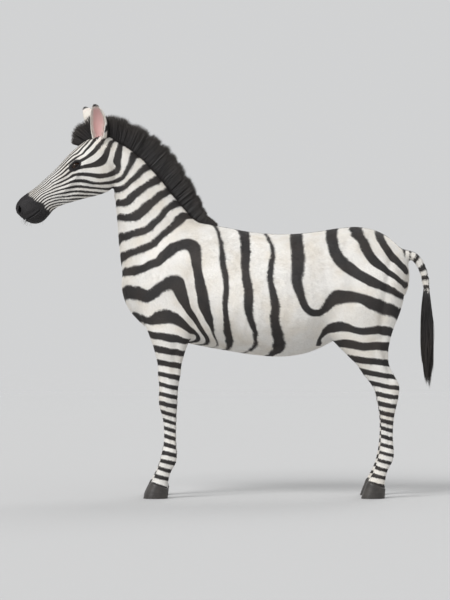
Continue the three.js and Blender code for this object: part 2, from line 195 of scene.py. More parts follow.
HINDLEG = [
    ((330, 1205), (545, 1205), 66, 82, 0.5, 2.0),      # croup
    ((262, 1090), (628, 1090), 116, 108, 0.5, 2.1),
    ((238, 975), (658, 985), 122, 118, 0.5, 2.1),      # thigh
    ((240, 878), (642, 890), 110, 128, 0.46, 2.1),
    ((268, 792), (612, 812), 90, 137, 0.44, 2.2),      # stifle
    ((334, 712), (590, 738), 70, 140, 0.46, 2.1),
    ((404, 642), (584, 662), 55, 140, 0.48, 2.1),      # gaskin
    ((462, 576), (597, 594), 44, 136, 0.5, 2.1),
    ((506, 516), (628, 537), 37, 132, 0.48, 2.2),      # point of hock
    ((520, 468), (626, 480), 39, 131, 0.45, 2.3),
    ((530, 420), (614, 426), 34, 130, 0.46, 2.3),
    ((537, 368), (603, 370), 27, 130, 0.48, 2.1),
    ((538, 292), (599, 292), 25, 130, 0.5, 2.1),       # cannon
    ((531, 224), (604, 216), 30, 129, 0.52, 2.2),      # fetlock
    ((525, 192), (598, 176), 30, 129, 0.52, 2.2),
    ((511, 144), (573, 128), 26, 128, 0.5, 2.1),       # pastern
    ((490, 102), (561, 70), 32, 128, 0.45, 2.1),
    ((477, 80), (562, 46), 38, 128, 0.42, 2.1),        # coronet
    ((452, 18), (560, 14), 44, 128, 0.42, 2.1),
    ((447, 0), (559, 0), 45, 128, 0.42, 2.1),          # sole
]
CORONET_ROW = 17                  # in both legs

TAIL = [
    ((588, 1168), (598, 1108), 30, 0, 0.5, 2.0),       # inside the rump
    ((640, 1176), (634, 1122), 30, 0, 0.5, 2.0),
    ((694, 1166), (672, 1120), 25, 0, 0.5, 2.0),
    ((738, 1128), (703, 1098), 22, 0, 0.5, 2.0),
    ((764, 1070), (723, 1056), 20, 0, 0.5, 2.0),
    ((776, 1000), (737, 996), 18, 0, 0.5, 2.0),
    ((778, 925), (743, 925), 17, 0, 0.5, 2.0),
    ((776, 862), (744, 862), 16, 0, 0.5, 2.0),
]

# The coat's depth, which the skin leaves free inside the solids.
BODY_COAT = 6
FACE_COAT = 3
LEG_COAT = 3

# %% [markdown]
# ## Lofts
#
# A smooth curve through the rows (a Catmull-Rom spline) gives as many rings as a mesh needs.
# In bmesh, a circle is shaped into the first ring, and then its edges are extruded again and
# again, each new loop being moved onto the next ring.

# %% Rings and lofts
def numbers(rows):
    return np.array([[*first, *second, *rest] for first, second, *rest in rows], float)


def station(table, t):
    """The row at a fractional place t of a table of rows."""
    last = len(table) - 1
    i = min(int(t), last - 1)
    t = t - i
    a, b, c, d = (table[min(max(j, 0), last)] for j in (i - 1, i, i + 1, i + 2))
    return b + 0.5 * t * (c - a + t * (2 * a - 5 * b + 4 * c - d + t * (3 * (b - c) + d - a)))


def section(row, turns, side=1, inset=0.0):
    """Points of one cross-section at the given turns, 0 at its first point, in metres."""
    ax, az, bx, bz, half, off, widest, square = row
    depth = math.hypot(ax - bx, az - bz)
    rise = np.sign(np.cos(turns)) * np.abs(np.cos(turns)) ** (2 / square)
    out = np.sign(np.sin(turns)) * np.abs(np.sin(turns)) ** (2 / square)
    reach = rise * np.where(rise > 0, depth * widest - inset, depth * (1 - widest) - inset)
    x = ax + (bx - ax) * widest + (ax - bx) / depth * reach
    z = az + (bz - az) * widest + (az - bz) / depth * reach
    y = side * off + out * (half - inset)
    return np.stack([x + SHIFT_X, y, z], axis=-1) * MM


def ring_turns(segments):
    return np.arange(segments) * 2 * math.pi / segments


def extrude_rings(bm, rings, close_start=0.0, close_end=0.0):
    """A tube through rings of equal length. Each end is closed on a pole beyond it."""
    loop = bmesh.ops.create_circle(bm, segments=len(rings[0]), radius=1)["verts"]
    for vert, place in zip(loop, rings[0]):
        vert.co = place
    edges = list(dict.fromkeys(edge for vert in loop for edge in vert.link_edges))
    ends = [(edges, rings[0], rings[1], close_start)]
    for ring in rings[1:]:
        grown = bmesh.ops.extrude_edge_only(bm, edges=edges)["geom"]
        fresh = {item for item in grown if isinstance(item, bmesh.types.BMVert)}
        loop = [next(e.other_vert(v) for e in v.link_edges if e.other_vert(v) in fresh) for v in loop]
        for vert, place in zip(loop, ring):
            vert.co = place
        edges = [item for item in grown if isinstance(item, bmesh.types.BMEdge)]
    ends.append((edges, rings[-1], rings[-2], close_end))
    for edges, ring, inner, beyond in ends:
        if beyond is None:
            continue
        middle = Vector(np.mean(ring, axis=0))
        away = (middle - Vector(np.mean(inner, axis=0))).normalized()
        lid = bmesh.ops.contextual_create(bm, geom=edges)["faces"]
        pole = bmesh.ops.poke(bm, faces=lid)["verts"]
        for vert in pole:
            vert.co = middle + away * beyond * MM
    return bm


def loft(bm, rows, side=1, segments=36, steps=3, inset=0.0, first=0.0, last=None, ends=(0, 0)):
    table = numbers(rows)
    last = len(table) - 1 if last is None else last
    count = max(2, round((last - first) * steps))
    turns = ring_turns(segments)
    places = [first + (last - first) * k / count for k in range(count + 1)]
    rings = [section(station(table, t), turns, side, inset) for t in places]
    return extrude_rings(bm, rings, *ends)


# %% [markdown]
# ## Ears
#
# An ear is a leaf rolled round its own length: closed like a tube at the root and open above.
# Its section is a crescent, an outer arc and back along an inner one, which the same ring
# extrusion takes as well as a circle.

# %% Ears
EAR = {"s": 14, "u": 30, "y": 50, "length": 172, "splay": 15, "turn": 58, "wall": 8}
EAR_LEAN = {LEFT: 8, RIGHT: 27}   # degrees towards the nose
EAR_SUNK = 30                     # how deep its root sits in the head
EAR_LEAF = np.array([
    (0, 26, 150),                 # share of the length, outer radius, half the arc in degrees
    (0.1, 31, 140),
    (0.24, 38, 120),
    (0.4, 44, 100),
    (0.56, 46, 84),
    (0.72, 42, 76),
    (0.86, 32, 72),
    (0.95, 20, 70),
    (1, 10, 66),
])
EAR_HAIR = 1.0                    # the coat on an ear's outside


def ear_matrix(side):
    x, z = on_head(EAR["s"], EAR["u"])
    turned = Matrix.Rotation(-side * math.radians(EAR["turn"]), 4, "Z")
    splayed = Matrix.Rotation(-side * math.radians(EAR["splay"]), 4, "X")
    leaned = Matrix.Rotation(-math.radians(EAR_LEAN[side]), 4, "Y")
    place = Vector((x + SHIFT_X, side * EAR["y"], z)) * MM
    return Matrix.Translation(place) @ leaned @ splayed @ turned


def ear_curl(radius, share):
    """How far the leaf's axis bends forward, most of all near the root."""
    return radius * (1 - share) * 0.15


def ear_wall(radius):
    return np.minimum(EAR["wall"], radius * 0.7)


def ear(bm, side):
    arc_steps = 12
    share_of_arc = 1 - 2 * np.arange(arc_steps + 1) / arc_steps
    to_head = np.array(ear_matrix(side))
    rings = []
    for t in np.linspace(0, len(EAR_LEAF) - 1, 33):
        share, radius, arc = station(EAR_LEAF, t)
        wall = ear_wall(radius) - EAR_HAIR
        curl = ear_curl(radius, share)
        outer = -share_of_arc * math.radians(arc)
        points = []
        for r, turns in ((radius - EAR_HAIR, outer), (radius - EAR_HAIR - wall, outer[::-1])):
            height = -EAR_SUNK + (EAR["length"] + EAR_SUNK - EAR_HAIR) * share
            points += [(r * math.cos(a) + curl, r * math.sin(a), height) for a in turns]
        local = np.array(points) * MM
        rings.append(local @ to_head[:3, :3].T + to_head[:3, 3])
    return extrude_rings(bm, rings)


# %% [markdown]
# ## One skin
#
# Lofts that run into each other have creases where they cross, and a real skin has none.
# A voxel remesh melts overlapping closed meshes into a single one. The trunk takes voxels of
# about 10 mm, the head and its thin ears need finer ones, and the slim lower legs stay lofts,
# whose clean rings suit them. Each is cut with `bisect_plane` a few millimetres from the
# next, and `bridge_loops` sews the open edges together.

# %% Fuse and cut
TORSO_VOXEL = 0.0098
HEAD_VOXEL = 0.0042
SEWN = 0.008                      # width of the strips that join the pieces
KNEE_CUT = 0.62                   # height where a leg turns from voxels to a loft

neck_rows = numbers(NECK)
crest_point, throat_point = neck_rows[5][:2], neck_rows[5][2:4]
along = (throat_point - crest_point) / np.linalg.norm(throat_point - crest_point)
NECK_CUT = Vector((throat_point[0] + SHIFT_X, 0, throat_point[1])) * MM
NECK_WAY = Vector((along[1], 0, -along[0]))          # across the neck's cut, towards the head


def mesh_from(bm, name):
    """The bmesh as a mesh. The bmesh is used up."""
    mesh = bpy.data.meshes.new(name)
    bm.to_mesh(mesh)
    bm.free()
    return mesh


def fuse(bm, voxel):
    """The closed meshes in bm melted into one."""
    bmesh.ops.recalc_face_normals(bm, faces=bm.faces)
    rough = mesh_from(bm, "rough")
    carrier = linked("rough", rough)
    remesh = carrier.modifiers.new("remesh", "REMESH")
    remesh.mode = "VOXEL"
    remesh.voxel_size = voxel
    evaluated = carrier.evaluated_get(bpy.context.evaluated_depsgraph_get())
    fused = bmesh.new()
    fused.from_mesh(evaluated.to_mesh())
    evaluated.to_mesh_clear()
    bpy.data.objects.remove(carrier)
    bpy.data.meshes.remove(rough)
    return fused


def cut(bm, point, away):
    """Takes off what lies beyond a plane, on the side that `away` points to."""
    everything = bm.verts[:] + bm.edges[:] + bm.faces[:]
    bmesh.ops.bisect_plane(bm, geom=everything, dist=1e-7, plane_co=point, plane_no=away, clear_outer=True)
    return bm


DOWN = Vector((0, 0, -1))
torso = bmesh.new()
loft(torso, TRUNK, segments=48, steps=4, inset=BODY_COAT, ends=(8, 6))
loft(torso, NECK, segments=40, steps=4, inset=BODY_COAT)
loft(torso, TAIL, segments=20, steps=5, inset=LEG_COAT, ends=(0, 4))
for side in (LEFT, RIGHT):
    loft(torso, FORELEG, side, segments=40, steps=4, inset=BODY_COAT, last=7)
    loft(torso, HINDLEG, side, segments=40, steps=4, inset=BODY_COAT, last=8)
torso = cut(fuse(torso, TORSO_VOXEL), NECK_CUT, NECK_WAY)
cut(torso, (0, 0, KNEE_CUT + SEWN / 2), DOWN)
print("torso", len(torso.verts), "vertices")

head = bmesh.new()
loft(head, HEAD, segments=56, steps=4, inset=FACE_COAT, ends=(8, 4))
loft(head, NECK, segments=40, steps=4, inset=BODY_COAT, first=3)
for side in (LEFT, RIGHT):
    ear(head, side)
head = cut(fuse(head, HEAD_VOXEL), NECK_CUT + NECK_WAY * SEWN, -NECK_WAY)
print("head", len(head.verts), "vertices")

SKIN_END = CORONET_ROW + 0.12     # the skin ends a little below the hoof's upper edge
shins = bmesh.new()
for side in (LEFT, RIGHT):
    for rows, first in ((FORELEG, 5.5), (HINDLEG, 6)):
        loft(shins, rows, side, segments=34, steps=5, inset=LEG_COAT, first=first, last=SKIN_END,
             ends=(None, 0))
cut(shins, (0, 0, KNEE_CUT - SEWN / 2), -DOWN)
print("lower legs", len(shins.verts), "vertices")


# %% Sew
def open_loops(bm):
    """The open edges of a mesh, gathered into loops. A dict keeps its order, as a set doesn't."""
    waiting = dict.fromkeys(edge for edge in bm.edges if edge.is_boundary)
    found = []
    while waiting:
        queue = [waiting.popitem()[0]]
        ring = list(queue)
        while queue:
            for vert in queue.pop().verts:
                for edge in vert.link_edges:
                    if edge in waiting:
                        del waiting[edge]
                        queue.append(edge)
                        ring.append(edge)
        found.append(ring)
    return found


def middle_of(edges):
    points = [vert.co for edge in edges for vert in edge.verts]
    return sum(points, Vector()) / len(points)


def in_order(bm):
    """Sorts a mesh by place, as the order in which extruded faces come changes from run to run."""
    bm.verts.index_update()
    rank = np.argsort(np.lexsort(np.array([vert.co for vert in bm.verts]).T)).tolist()
    count = len(rank)

    def number(item):
        ranks = [rank[vert.index] for vert in item.verts]
        return (min(ranks) * count + max(ranks)) * 4 * count + sum(ranks)

    bm.edges.sort(key=number)
    bm.faces.sort(key=number)
    bm.verts.sort(key=lambda vert: rank[vert.index])
    for items in (bm.verts, bm.edges, bm.faces):
        items.index_update()
        items.ensure_lookup_table()


def sew(bm):
    """Bridges each open loop to the nearest other one."""
    in_order(bm)
    loops = open_loops(bm)
    while len(loops) > 1:
        first = loops.pop()
        near = min(loops, key=lambda other: (middle_of(other) - middle_of(first)).length)
        loops.remove(near)
        bmesh.ops.bridge_loops(bm, edges=first + near)
    in_order(bm)
    print("open edges left:", sum(edge.is_boundary for edge in bm.edges))


skin_bm = bmesh.new()
for part in (torso, head, shins):
    finished = mesh_from(part, "finished")
    skin_bm.from_mesh(finished)
    bpy.data.meshes.remove(finished)
print("open loops before sewing:", [len(ring) for ring in open_loops(skin_bm)])
sew(skin_bm)
bmesh.ops.recalc_face_normals(skin_bm, faces=skin_bm.faces)

# %% [markdown]
# ## Muscle and bone under the skin
#
# The sewn skin is turned into arrays, because moving a hundred thousand points is quick in
# numpy. First the creases between the lofts relax: each point moves towards the mean of its
# neighbours, often on the trunk and hardly at all on the face. Then strokes, like those of a
# sculpting brush, raise what lies under the skin: shoulder blade, triceps, hip, thigh, hock
# and tendons on the body, and cheek, facial crest and eye socket on the head. A stroke is a
# path in side view, a radius and a height, and works on both sides.

# %% Arrays of the skin
def points_of(bm):
    """The places of a mesh's vertices, which are numbered afresh to fit the array's rows."""
    bm.verts.index_update()
    return np.array([vert.co for vert in bm.verts])


def ties_of(bm):
    return np.sort([(edge.verts[0].index, edge.verts[1].index) for edge in bm.edges], axis=1)


def normals_of(bm):
    bm.normal_update()
    return np.array([vert.normal for vert in bm.verts])


def put_back(bm, points):
    for vert, place in zip(bm.verts, points):
        vert.co = place


def ramp(low, high, value):
    """0 below low, 1 above high, smooth between."""
    t = np.clip((value - low) / (high - low), 0, 1)
    return t * t * (3 - 2 * t)


def relax(points, ties, weight, rounds):
    """Each point moves towards the mean of its neighbours, by its weight."""
    a, b = ties.T
    count = np.bincount(ties.ravel(), minlength=len(points))
    for _ in range(rounds):
        total = [np.bincount(a, points[b, k], len(points)) + np.bincount(b, points[a, k], len(points))
                 for k in range(points.shape[1])]
        points = points + weight[:, None] * (np.stack(total, 1) / count[:, None] - points)
    return points


def sketch(points):
    """Sketch x and z in millimetres."""
    return points[:, [0, 2]] / MM - (SHIFT_X, 0)


def head_su(points):
    """Places along and above the head's axis, in millimetres."""
    from_poll = sketch(points) - HEAD_POLL
    return np.stack([from_poll @ HEAD_AXIS, from_poll @ HEAD_UP], 1)


def bell(x, middle, width):
    """1 in the middle, falling away on both sides."""
    return np.exp(-((x - middle) / width) ** 2)


def to_path(flat, path):
    """How far flat points lie from a path of one or more corners."""
    path = np.array(path, float)
    best = np.full(len(flat), 1e9)
    for a, b in zip(path, path[1:] if len(path) > 1 else path):
        step = b - a
        t = np.clip((flat - a) @ step / max(step @ step, 1e-9), 0, 1)
        best = np.minimum(best, np.linalg.norm(flat - a - t[:, None] * step, axis=1))
    return best


points = points_of(skin_bm)
ties = ties_of(skin_bm)

neck_depth = (points - np.array(NECK_CUT)) @ np.array(NECK_WAY)      # beyond the neck's cut
on_the_head = ramp(0.0, 0.03, neck_depth)
near_neck_cut = ramp(0.035, 0.005, np.abs(neck_depth - SEWN / 2))
near_leg_cut = ramp(0.035, 0.008, np.abs(points[:, 2] - KNEE_CUT))
on_shins = ramp(KNEE_CUT, KNEE_CUT - 0.02, points[:, 2])
on_tail = ramp(0.875, 0.9, points[:, 0])

points = relax(points, ties, np.full(len(points), 0.5), 2)
torso_weight = 0.6 * (1 - on_the_head) * (1 - on_shins) * (1 - 0.9 * on_tail)
points = relax(points, ties, torso_weight, 14)
points = relax(points, ties, 0.5 * np.maximum(near_neck_cut, near_leg_cut), 10)
poll_region = ramp(34, -6, np.abs(head_su(points)[:, 0] - 10)) * on_the_head
points = relax(points, ties, 0.5 * poll_region, 12)
print("relaxed", len(points), "points")

# %% Strokes
BODY_STROKES = [                  # height, radius, path in the sketch's x and z
    (3, 60, [(-560, 1010), (-600, 960)]),                  # point of the shoulder
    (3, 55, [(-420, 1190), (-500, 1040)]),                 # blade, behind its spine
    (-7, 20, [(-452, 1200), (-560, 1040)]),                # spine of the blade
    (-11, 30, [(-440, 1270), (-560, 1160), (-632, 1060)]),  # where the neck meets the shoulder
    (4, 80, [(-430, 960), (-400, 880)]),                   # triceps
    (-14, 32, [(-345, 1070), (-322, 920), (-328, 830)]),   # behind the triceps
    (3, 26, [(-352, 800)]),                                # elbow
    (3, 38, [(-480, 760), (-470, 680)]),                   # forearm
    (-7, 18, [(-425, 720), (-430, 600)]),
    (-6, 14, [(-480, 640), (-470, 560)]),
    (-15, 58, [(272, 1150), (288, 1040)]),                 # flank
    (-8, 36, [(300, 960), (250, 830)]),                    # where the thigh leaves the belly
    (4, 36, [(335, 1186)]),                                # point of the hip
    (1, 30, [(250, 905), (330, 842)]),                     # fold of the flank
    (4, 72, [(450, 1130), (510, 1000)]),                   # rump muscle
    (-10, 20, [(592, 1150), (566, 1000), (545, 860), (548, 760)]),     # furrow down the thigh
    (-8, 26, [(372, 1190), (400, 1050), (420, 940)]),      # before the rump muscle
    (2, 45, [(628, 1030), (610, 920)]),
    (4, 44, [(296, 830), (312, 785)]),                     # stifle
    (3, 44, [(430, 730), (474, 672)]),                     # gaskin
    (-10, 15, [(556, 700), (577, 620), (588, 570)]),       # hollow before the big tendon
    (-6, 18, [(500, 740), (520, 640)]),
    (5, 15, [(598, 516)]),                                 # hock
    (4, 14, [(534, 486)]),
    (-5, 11, [(566, 520), (568, 460)]),
    (-5, 6, [(577, 410), (576, 250)]),                     # groove between bone and tendon
    (-5, 6, [(-444, 400), (-443, 245)]),
    (3, 15, [(-466, 470)]),                                # knee
    (-5, 9, [(-432, 520), (-430, 450)]),
    (4, 13, [(-460, 207)]),                                # fetlocks
    (4, 13, [(566, 213)]),
    (-3, 10, [(-462, 155)]),
    (-3, 10, [(560, 160)]),
]
RIBS = [(1.8, 13, [(x, 1130), (x + 26, 960), (x - 4, 820)]) for x in range(-160, 260, 58)]
HEAD_STROKES = [                  # the same in the head's s and u
    (1.5, 46, [(100, -92), (120, -122)]),                  # cheek muscle
    (-6, 12, [(160, -168), (196, -112), (214, -66)]),      # its front edge
    (4.5, 9, [(196, -34), (250, -44), (300, -52)]),        # facial crest
    (-6, 17, [(240, -78), (335, -74)]),
    (-4, 12, [(236, -10), (300, -20)]),
    (4, 13, [(136, 26), (156, 36), (192, 34), (214, 18)]),  # brow
    (2.5, 12, [(96, -2), (136, -20), (176, -32), (204, -28)]),  # cheek bone
    (-9, 15, [(116, 34), (134, 42)]),                      # temple
    (-6, 13, [(330, 20), (408, 26)]),                      # hollow beside the nose
    (2.5, 12, [(250, 40), (330, 38), (368, 40)]),          # edge of the nasal bone
    (-8, 16, [(36, -40), (46, -120)]),                     # behind the jaw
    (3, 14, [(476, -66), (500, -60)]),                     # lower lip
    (-2.5, 9, [(438, -58), (428, -30)]),                   # corner of the mouth
    (3, 16, [(470, -22), (505, -14)]),                     # upper lip
    (-2.2, 5, [(440, 36), (448, 8), (440, -20)]),          # folds behind the nostril
    (-1.8, 5, [(426, 30), (433, 4), (424, -24)]),
    (-1.8, 5, [(462, -34), (482, -26), (508, -22)]),       # and above the lip
]


def stroke(points, normals, flat, strokes, mask):
    sideways = ramp(0.1, 0.55, normals[:, 1] * np.sign(points[:, 1])) * mask
    push = sum(height * bell(to_path(flat, path), 0, radius) for height, radius, path in strokes)
    return points + normals * (push * sideways * MM)[:, None]


put_back(skin_bm, points)
normals = normals_of(skin_bm)
points = stroke(points, normals, sketch(points), BODY_STROKES + RIBS, 1 - on_the_head)
points = stroke(points, normals, head_su(points), HEAD_STROKES, on_the_head)


# %% Furrows on the midline
def furrow(points, normals, depth, width, mask):
    push = depth * bell(points[:, 1] / MM, 0, width) * mask
    return points - normals * (push * MM)[:, None]


flat = sketch(points)
su = head_su(points)
breast = ramp(-560, -620, flat[:, 0]) * ramp(800, 850, flat[:, 1]) * ramp(1080, 1010, flat[:, 1])
seat = ramp(600, 640, flat[:, 0]) * ramp(830, 900, flat[:, 1]) * ramp(1110, 1060, flat[:, 1])
under_jaw = on_the_head * ramp(-60, -80, su[:, 1]) * ramp(90, 140, su[:, 0]) * ramp(400, 340, su[:, 0])
upper_lip = on_the_head * ramp(500, 512, su[:, 0]) * ramp(14, -4, su[:, 1])
for depth, width, mask in ((10, 17, breast), (16, 15, seat * (1 - on_tail)), (9, 17, under_jaw),
                           (3.5, 5, upper_lip)):
    points = furrow(points, normals, depth, width, mask)
put_back(skin_bm, points)

# %% [markdown]
# ## Eyelids and nostrils
#
# Voxels are too coarse for a lid's edge. So a round piece of skin comes out about each eye
# and nostril, and a fan of rings goes in: its outer ring lies on the old surface and is sewn
# to the hole, and its inner rings follow the opening's own outline. Round an eye they climb
# onto a sphere a little larger than the eyeball, fold into creases, turn over the lid's edge
# and line the socket. Round a nostril they swell into a rim and run down inside.

# %% Fans of rings
class Opening:
    """A place on the skin with its own axes: along, across, and out of the skin."""

    def __init__(self, bm, centre, along, across, out, radius):
        self.centre = Vector(centre)
        self.out = Vector(out).normalized()
        self.along = (Vector(along) - self.out * Vector(along).dot(self.out)).normalized()
        side = self.out.cross(self.along)
        self.across = side if side.dot(Vector(across)) > 0 else -side
        self.radius = radius
        self.surface = BVHTree.FromBMesh(bm)

    def place(self, a, b, height):
        return self.centre + (self.along * a + self.across * b + self.out * height) * MM

    def skin_height(self, a, b):
        hit = self.surface.ray_cast(self.place(a, b, 90), -self.out)[0]
        return (hit - self.centre).dot(self.out) / MM

    def open_skin(self, bm, spare=2.0, reach=60):
        """Takes out the skin within the radius, on this side of the head."""
        inside = []
        for face in bm.faces:
            off = (face.calc_center_median() - self.centre) / MM
            a, b, height = off.dot(self.along), off.dot(self.across), off.dot(self.out)
            near = math.hypot(a, b) < self.radius + spare and abs(height) < reach
            if near and face.normal.dot(self.out) > -0.2:
                inside.append(face)
        bmesh.ops.delete(bm, geom=inside, context="FACES")

    def ring(self, flat, height):
        """flat: points in the opening's plane; height: a function of a point and the skin there."""
        return [self.place(a, b, height(k, a, b, self.skin_height(a, b))) for k, (a, b) in enumerate(flat)]


FAN_SEGMENTS = 72
FAN = ring_turns(FAN_SEGMENTS)
fan_cos, fan_sin = np.cos(FAN), np.sin(FAN)
FAN_WAYS = np.stack([fan_cos, fan_sin], 1)


def between(outline, radius, share):
    """The outline, grown by a share of the way to a circle."""
    return outline * (1 - share) + radius * FAN_WAYS * share


def in_head(s, u, y):
    """A direction given along the head, above it and sideways."""
    x, z = HEAD_AXIS * s + HEAD_UP * u
    return Vector((x, y, z))


# %% Eyelids
EYE = {"s": 176, "u": 4, "y": 87, "radius": 21}
LIDS = {"above": 13.5, "below": 9.0, "half_length": 19.0, "corner": 1.6}
LID = 2.6                         # thickness of a lid
LID_SOFTNESS = 3.0                # how gently a lid runs out into the skin
EYE_FAN = 37                      # radius of the skin that is remade round an eye
EYE_TILT = math.radians(10)       # the front corner lies a little towards the nose bridge

eye_x, eye_z = on_head(EYE["s"], EYE["u"]) + (SHIFT_X, 0)
lid_rise = np.where(fan_sin > 0, LIDS["above"], LIDS["below"]) * np.abs(fan_sin) ** 1.15 * np.sign(fan_sin)
LID_OUTLINE = np.stack([
    LIDS["half_length"] * fan_cos + LIDS["corner"] * fan_cos ** 9,
    lid_rise - LIDS["corner"] * fan_cos,
], 1)


def eye_axes(side):
    front = in_head(math.cos(EYE_TILT), math.sin(EYE_TILT), 0)
    top = in_head(-math.sin(EYE_TILT), math.cos(EYE_TILT), 0)
    out = in_head(0.2, 0.16, side * 0.96).normalized()
    return front, top, out


def eyelids(bm, side):
    front, top, out = eye_axes(side)
    eye = Opening(bm, Vector((eye_x, side * EYE["y"], eye_z)) * MM, front, top, out, EYE_FAN)
    radius = EYE["radius"]

    def on_ball(thick):
        return lambda k, a, b, skin: math.sqrt(max((radius + thick) ** 2 - a * a - b * b, 0))

    def lid(share):
        def height(k, a, b, skin):
            ball = on_ball(LID)(k, a, b, skin)
            higher = LID_SOFTNESS * np.logaddexp(ball / LID_SOFTNESS, skin / LID_SOFTNESS)
            above, below = max(fan_sin[k], 0), max(-fan_sin[k], 0)
            gap = math.hypot(a, b) - math.hypot(*LID_OUTLINE[k])
            crease = 1.5 * bell(gap, 6.5, 1.5) * above ** 0.5
            second = 0.8 * bell(gap, 10.5, 1.3) * above
            under = 1.1 * bell(gap, 6, 1.6) * below ** 0.5
            brow = 2.2 * bell(gap, 14, 5) * above
            folds = (brow - crease - second - under) * (1 - share ** 2)
            return skin * share ** 3 + higher * (1 - share ** 3) + folds
        return height

    shares = (1, 0.86, 0.72, 0.6, 0.5, 0.42, 0.36, 0.31, 0.265, 0.225, 0.185, 0.15, 0.115, 0.08, 0.045)
    rings = [eye.ring(between(LID_OUTLINE, EYE_FAN, share), lid(share)) for share in shares]
    edge = [(1.025, LID - 0.5), (1.0, LID - 1.5), (0.985, 0.7), (1.0, 0.45), (1.1, 0.35)]
    rings += [eye.ring(LID_OUTLINE * grow, on_ball(thick)) for grow, thick in edge]
    rings += [eye.ring(FAN_WAYS * (radius + 0.6) * wide, lambda k, a, b, skin: rise)
              for wide, rise in ((0.97, 5.0), (1.0, -3.0), (0.8, -14.0))]
    eye.open_skin(bm)
    extrude_rings(bm, rings, None, 6)


for side in (LEFT, RIGHT):
    eyelids(skin_bm, side)
sew(skin_bm)

# %% Nostrils
NOSTRIL = {"s": 486, "u": 8, "half_length": 20, "half_width": 9.5}
NOSTRIL_FAN = 31
nostril_centres = []

taper = 1 - 0.42 * fan_cos
NOSTRIL_OUTLINE = np.stack([
    NOSTRIL["half_length"] * fan_cos,
    NOSTRIL["half_width"] * taper * fan_sin - 4.0 * fan_cos ** 2 + 2.0,
], 1)


def nostril(bm, side):
    out = in_head(0.5, 0.16, side * 0.85).normalized()
    x, z = on_head(NOSTRIL["s"], NOSTRIL["u"]) + (SHIFT_X, 0)
    start = Vector((x, 0, z)) * MM + out * 0.2
    hit = BVHTree.FromBMesh(bm).ray_cast(start, -out)[0]
    nostril_centres.append(np.array(hit))
    place = Opening(bm, hit, in_head(-0.62, 0.78, 0), in_head(-0.6, -0.5, 0), out, NOSTRIL_FAN)

    def rim(share):
        def height(k, a, b, skin):
            gap = math.hypot(a, b) - math.hypot(*NOSTRIL_OUTLINE[k])
            swelling = 3.4 * bell(gap, 3, 3) - 1.2 * bell(gap, 9, 2.5)
            return skin + swelling * (1 - share ** 2)
        return height

    shares = (1, 0.82, 0.66, 0.52, 0.4, 0.3, 0.22, 0.15, 0.09, 0.04, 0)
    rings = [place.ring(between(NOSTRIL_OUTLINE, NOSTRIL_FAN, share), rim(share)) for share in shares]
    centre = NOSTRIL_OUTLINE.mean(axis=0)
    level = place.skin_height(*centre)
    for scale, depth in ((0.97, 1.5), (0.93, 5), (0.9, 10), (0.82, 17), (0.62, 24)):
        inner = centre + (NOSTRIL_OUTLINE - centre) * scale
        rings.append([place.place(a, b, level - depth) for a, b in inner])
    place.open_skin(bm)
    extrude_rings(bm, rings, None, 3)


for side in (LEFT, RIGHT):
    nostril(skin_bm, side)
sew(skin_bm)

# %% Smooth the joints of the fans
points = points_of(skin_bm)
ties = ties_of(skin_bm)
eye_centres = {side: np.array([eye_x, side * EYE["y"], eye_z]) * MM for side in (LEFT, RIGHT)}


def nearest(points, centres):
    return np.min([np.linalg.norm(points - centre, axis=1) for centre in centres], axis=0) / MM


def seam_weight(points, centres, radius):
    return ramp(9, 4, np.abs(nearest(points, centres) - radius))


joint = np.maximum(seam_weight(points, eye_centres.values(), math.hypot(EYE_FAN, 8)),
                   seam_weight(points, nostril_centres, NOSTRIL_FAN))
points = relax(points, ties, 0.5 * joint, 8)
put_back(skin_bm, points)

# %% [markdown]
# ## The mouth
#
# A closed mouth is a fine groove with a soft lip on each side. The faces along it are split
# twice, and then a height that depends only on how far a point is from the line between the
# lips presses the groove in.

# %% The mouth
MOUTH = np.array([(436, -43), (448, -48), (480, -47), (505, -43), (522, -39), (545, -35)], float)


def from_mouth(points):
    """Height above the line between the lips, and how far forward of its corner."""
    su = head_su(points)
    return su[:, 1] - np.interp(su[:, 0], *MOUTH.T), su[:, 0] - MOUTH[0, 0]


for reach in (13, 7):
    above, ahead = from_mouth(points_of(skin_bm))
    close = (np.abs(above) < reach) & (ahead > -8)
    lips = [edge for edge in skin_bm.edges if close[edge.verts[0].index] and close[edge.verts[1].index]]
    bmesh.ops.subdivide_edges(skin_bm, edges=lips, cuts=1, use_grid_fill=True)

points = points_of(skin_bm)
ties = ties_of(skin_bm)
above, ahead = from_mouth(points)
fine = ramp(16, 8, np.abs(above)) * ramp(-12, 0, ahead)
points = relax(points, ties, 0.5 * fine, 3)
put_back(skin_bm, points)
normals = normals_of(skin_bm)
above, ahead = from_mouth(points)
open_to = ramp(-3, 9, ahead)
push = 1.7 * bell(np.abs(above), 6.5, 3.5) - 4.6 * bell(above, 0, 1.9)
points = points + normals * (push * open_to * MM)[:, None]
put_back(skin_bm, points)
bmesh.ops.recalc_face_normals(skin_bm, faces=skin_bm.faces)
in_order(skin_bm)
print("skin:", len(skin_bm.verts), "points,", sum(len(f.verts) - 2 for f in skin_bm.faces), "triangles")

# %% [markdown]
# ## Where the stripes run
#
# A zebra's stripes are the level lines of one smooth number field, a phase that counts them
# from the middle of the face to the hooves. It is known at some 370 guide points: how many
# stripes lie between each and the nose bridge. Radial basis functions (a sum of distances to
# the guides, the 3-D cousin of a spline) fill in the rest of the skin. A stripe is dark where
# the phase is near a whole number. Small smooth waves bend the field, so that no two stripes
# match.

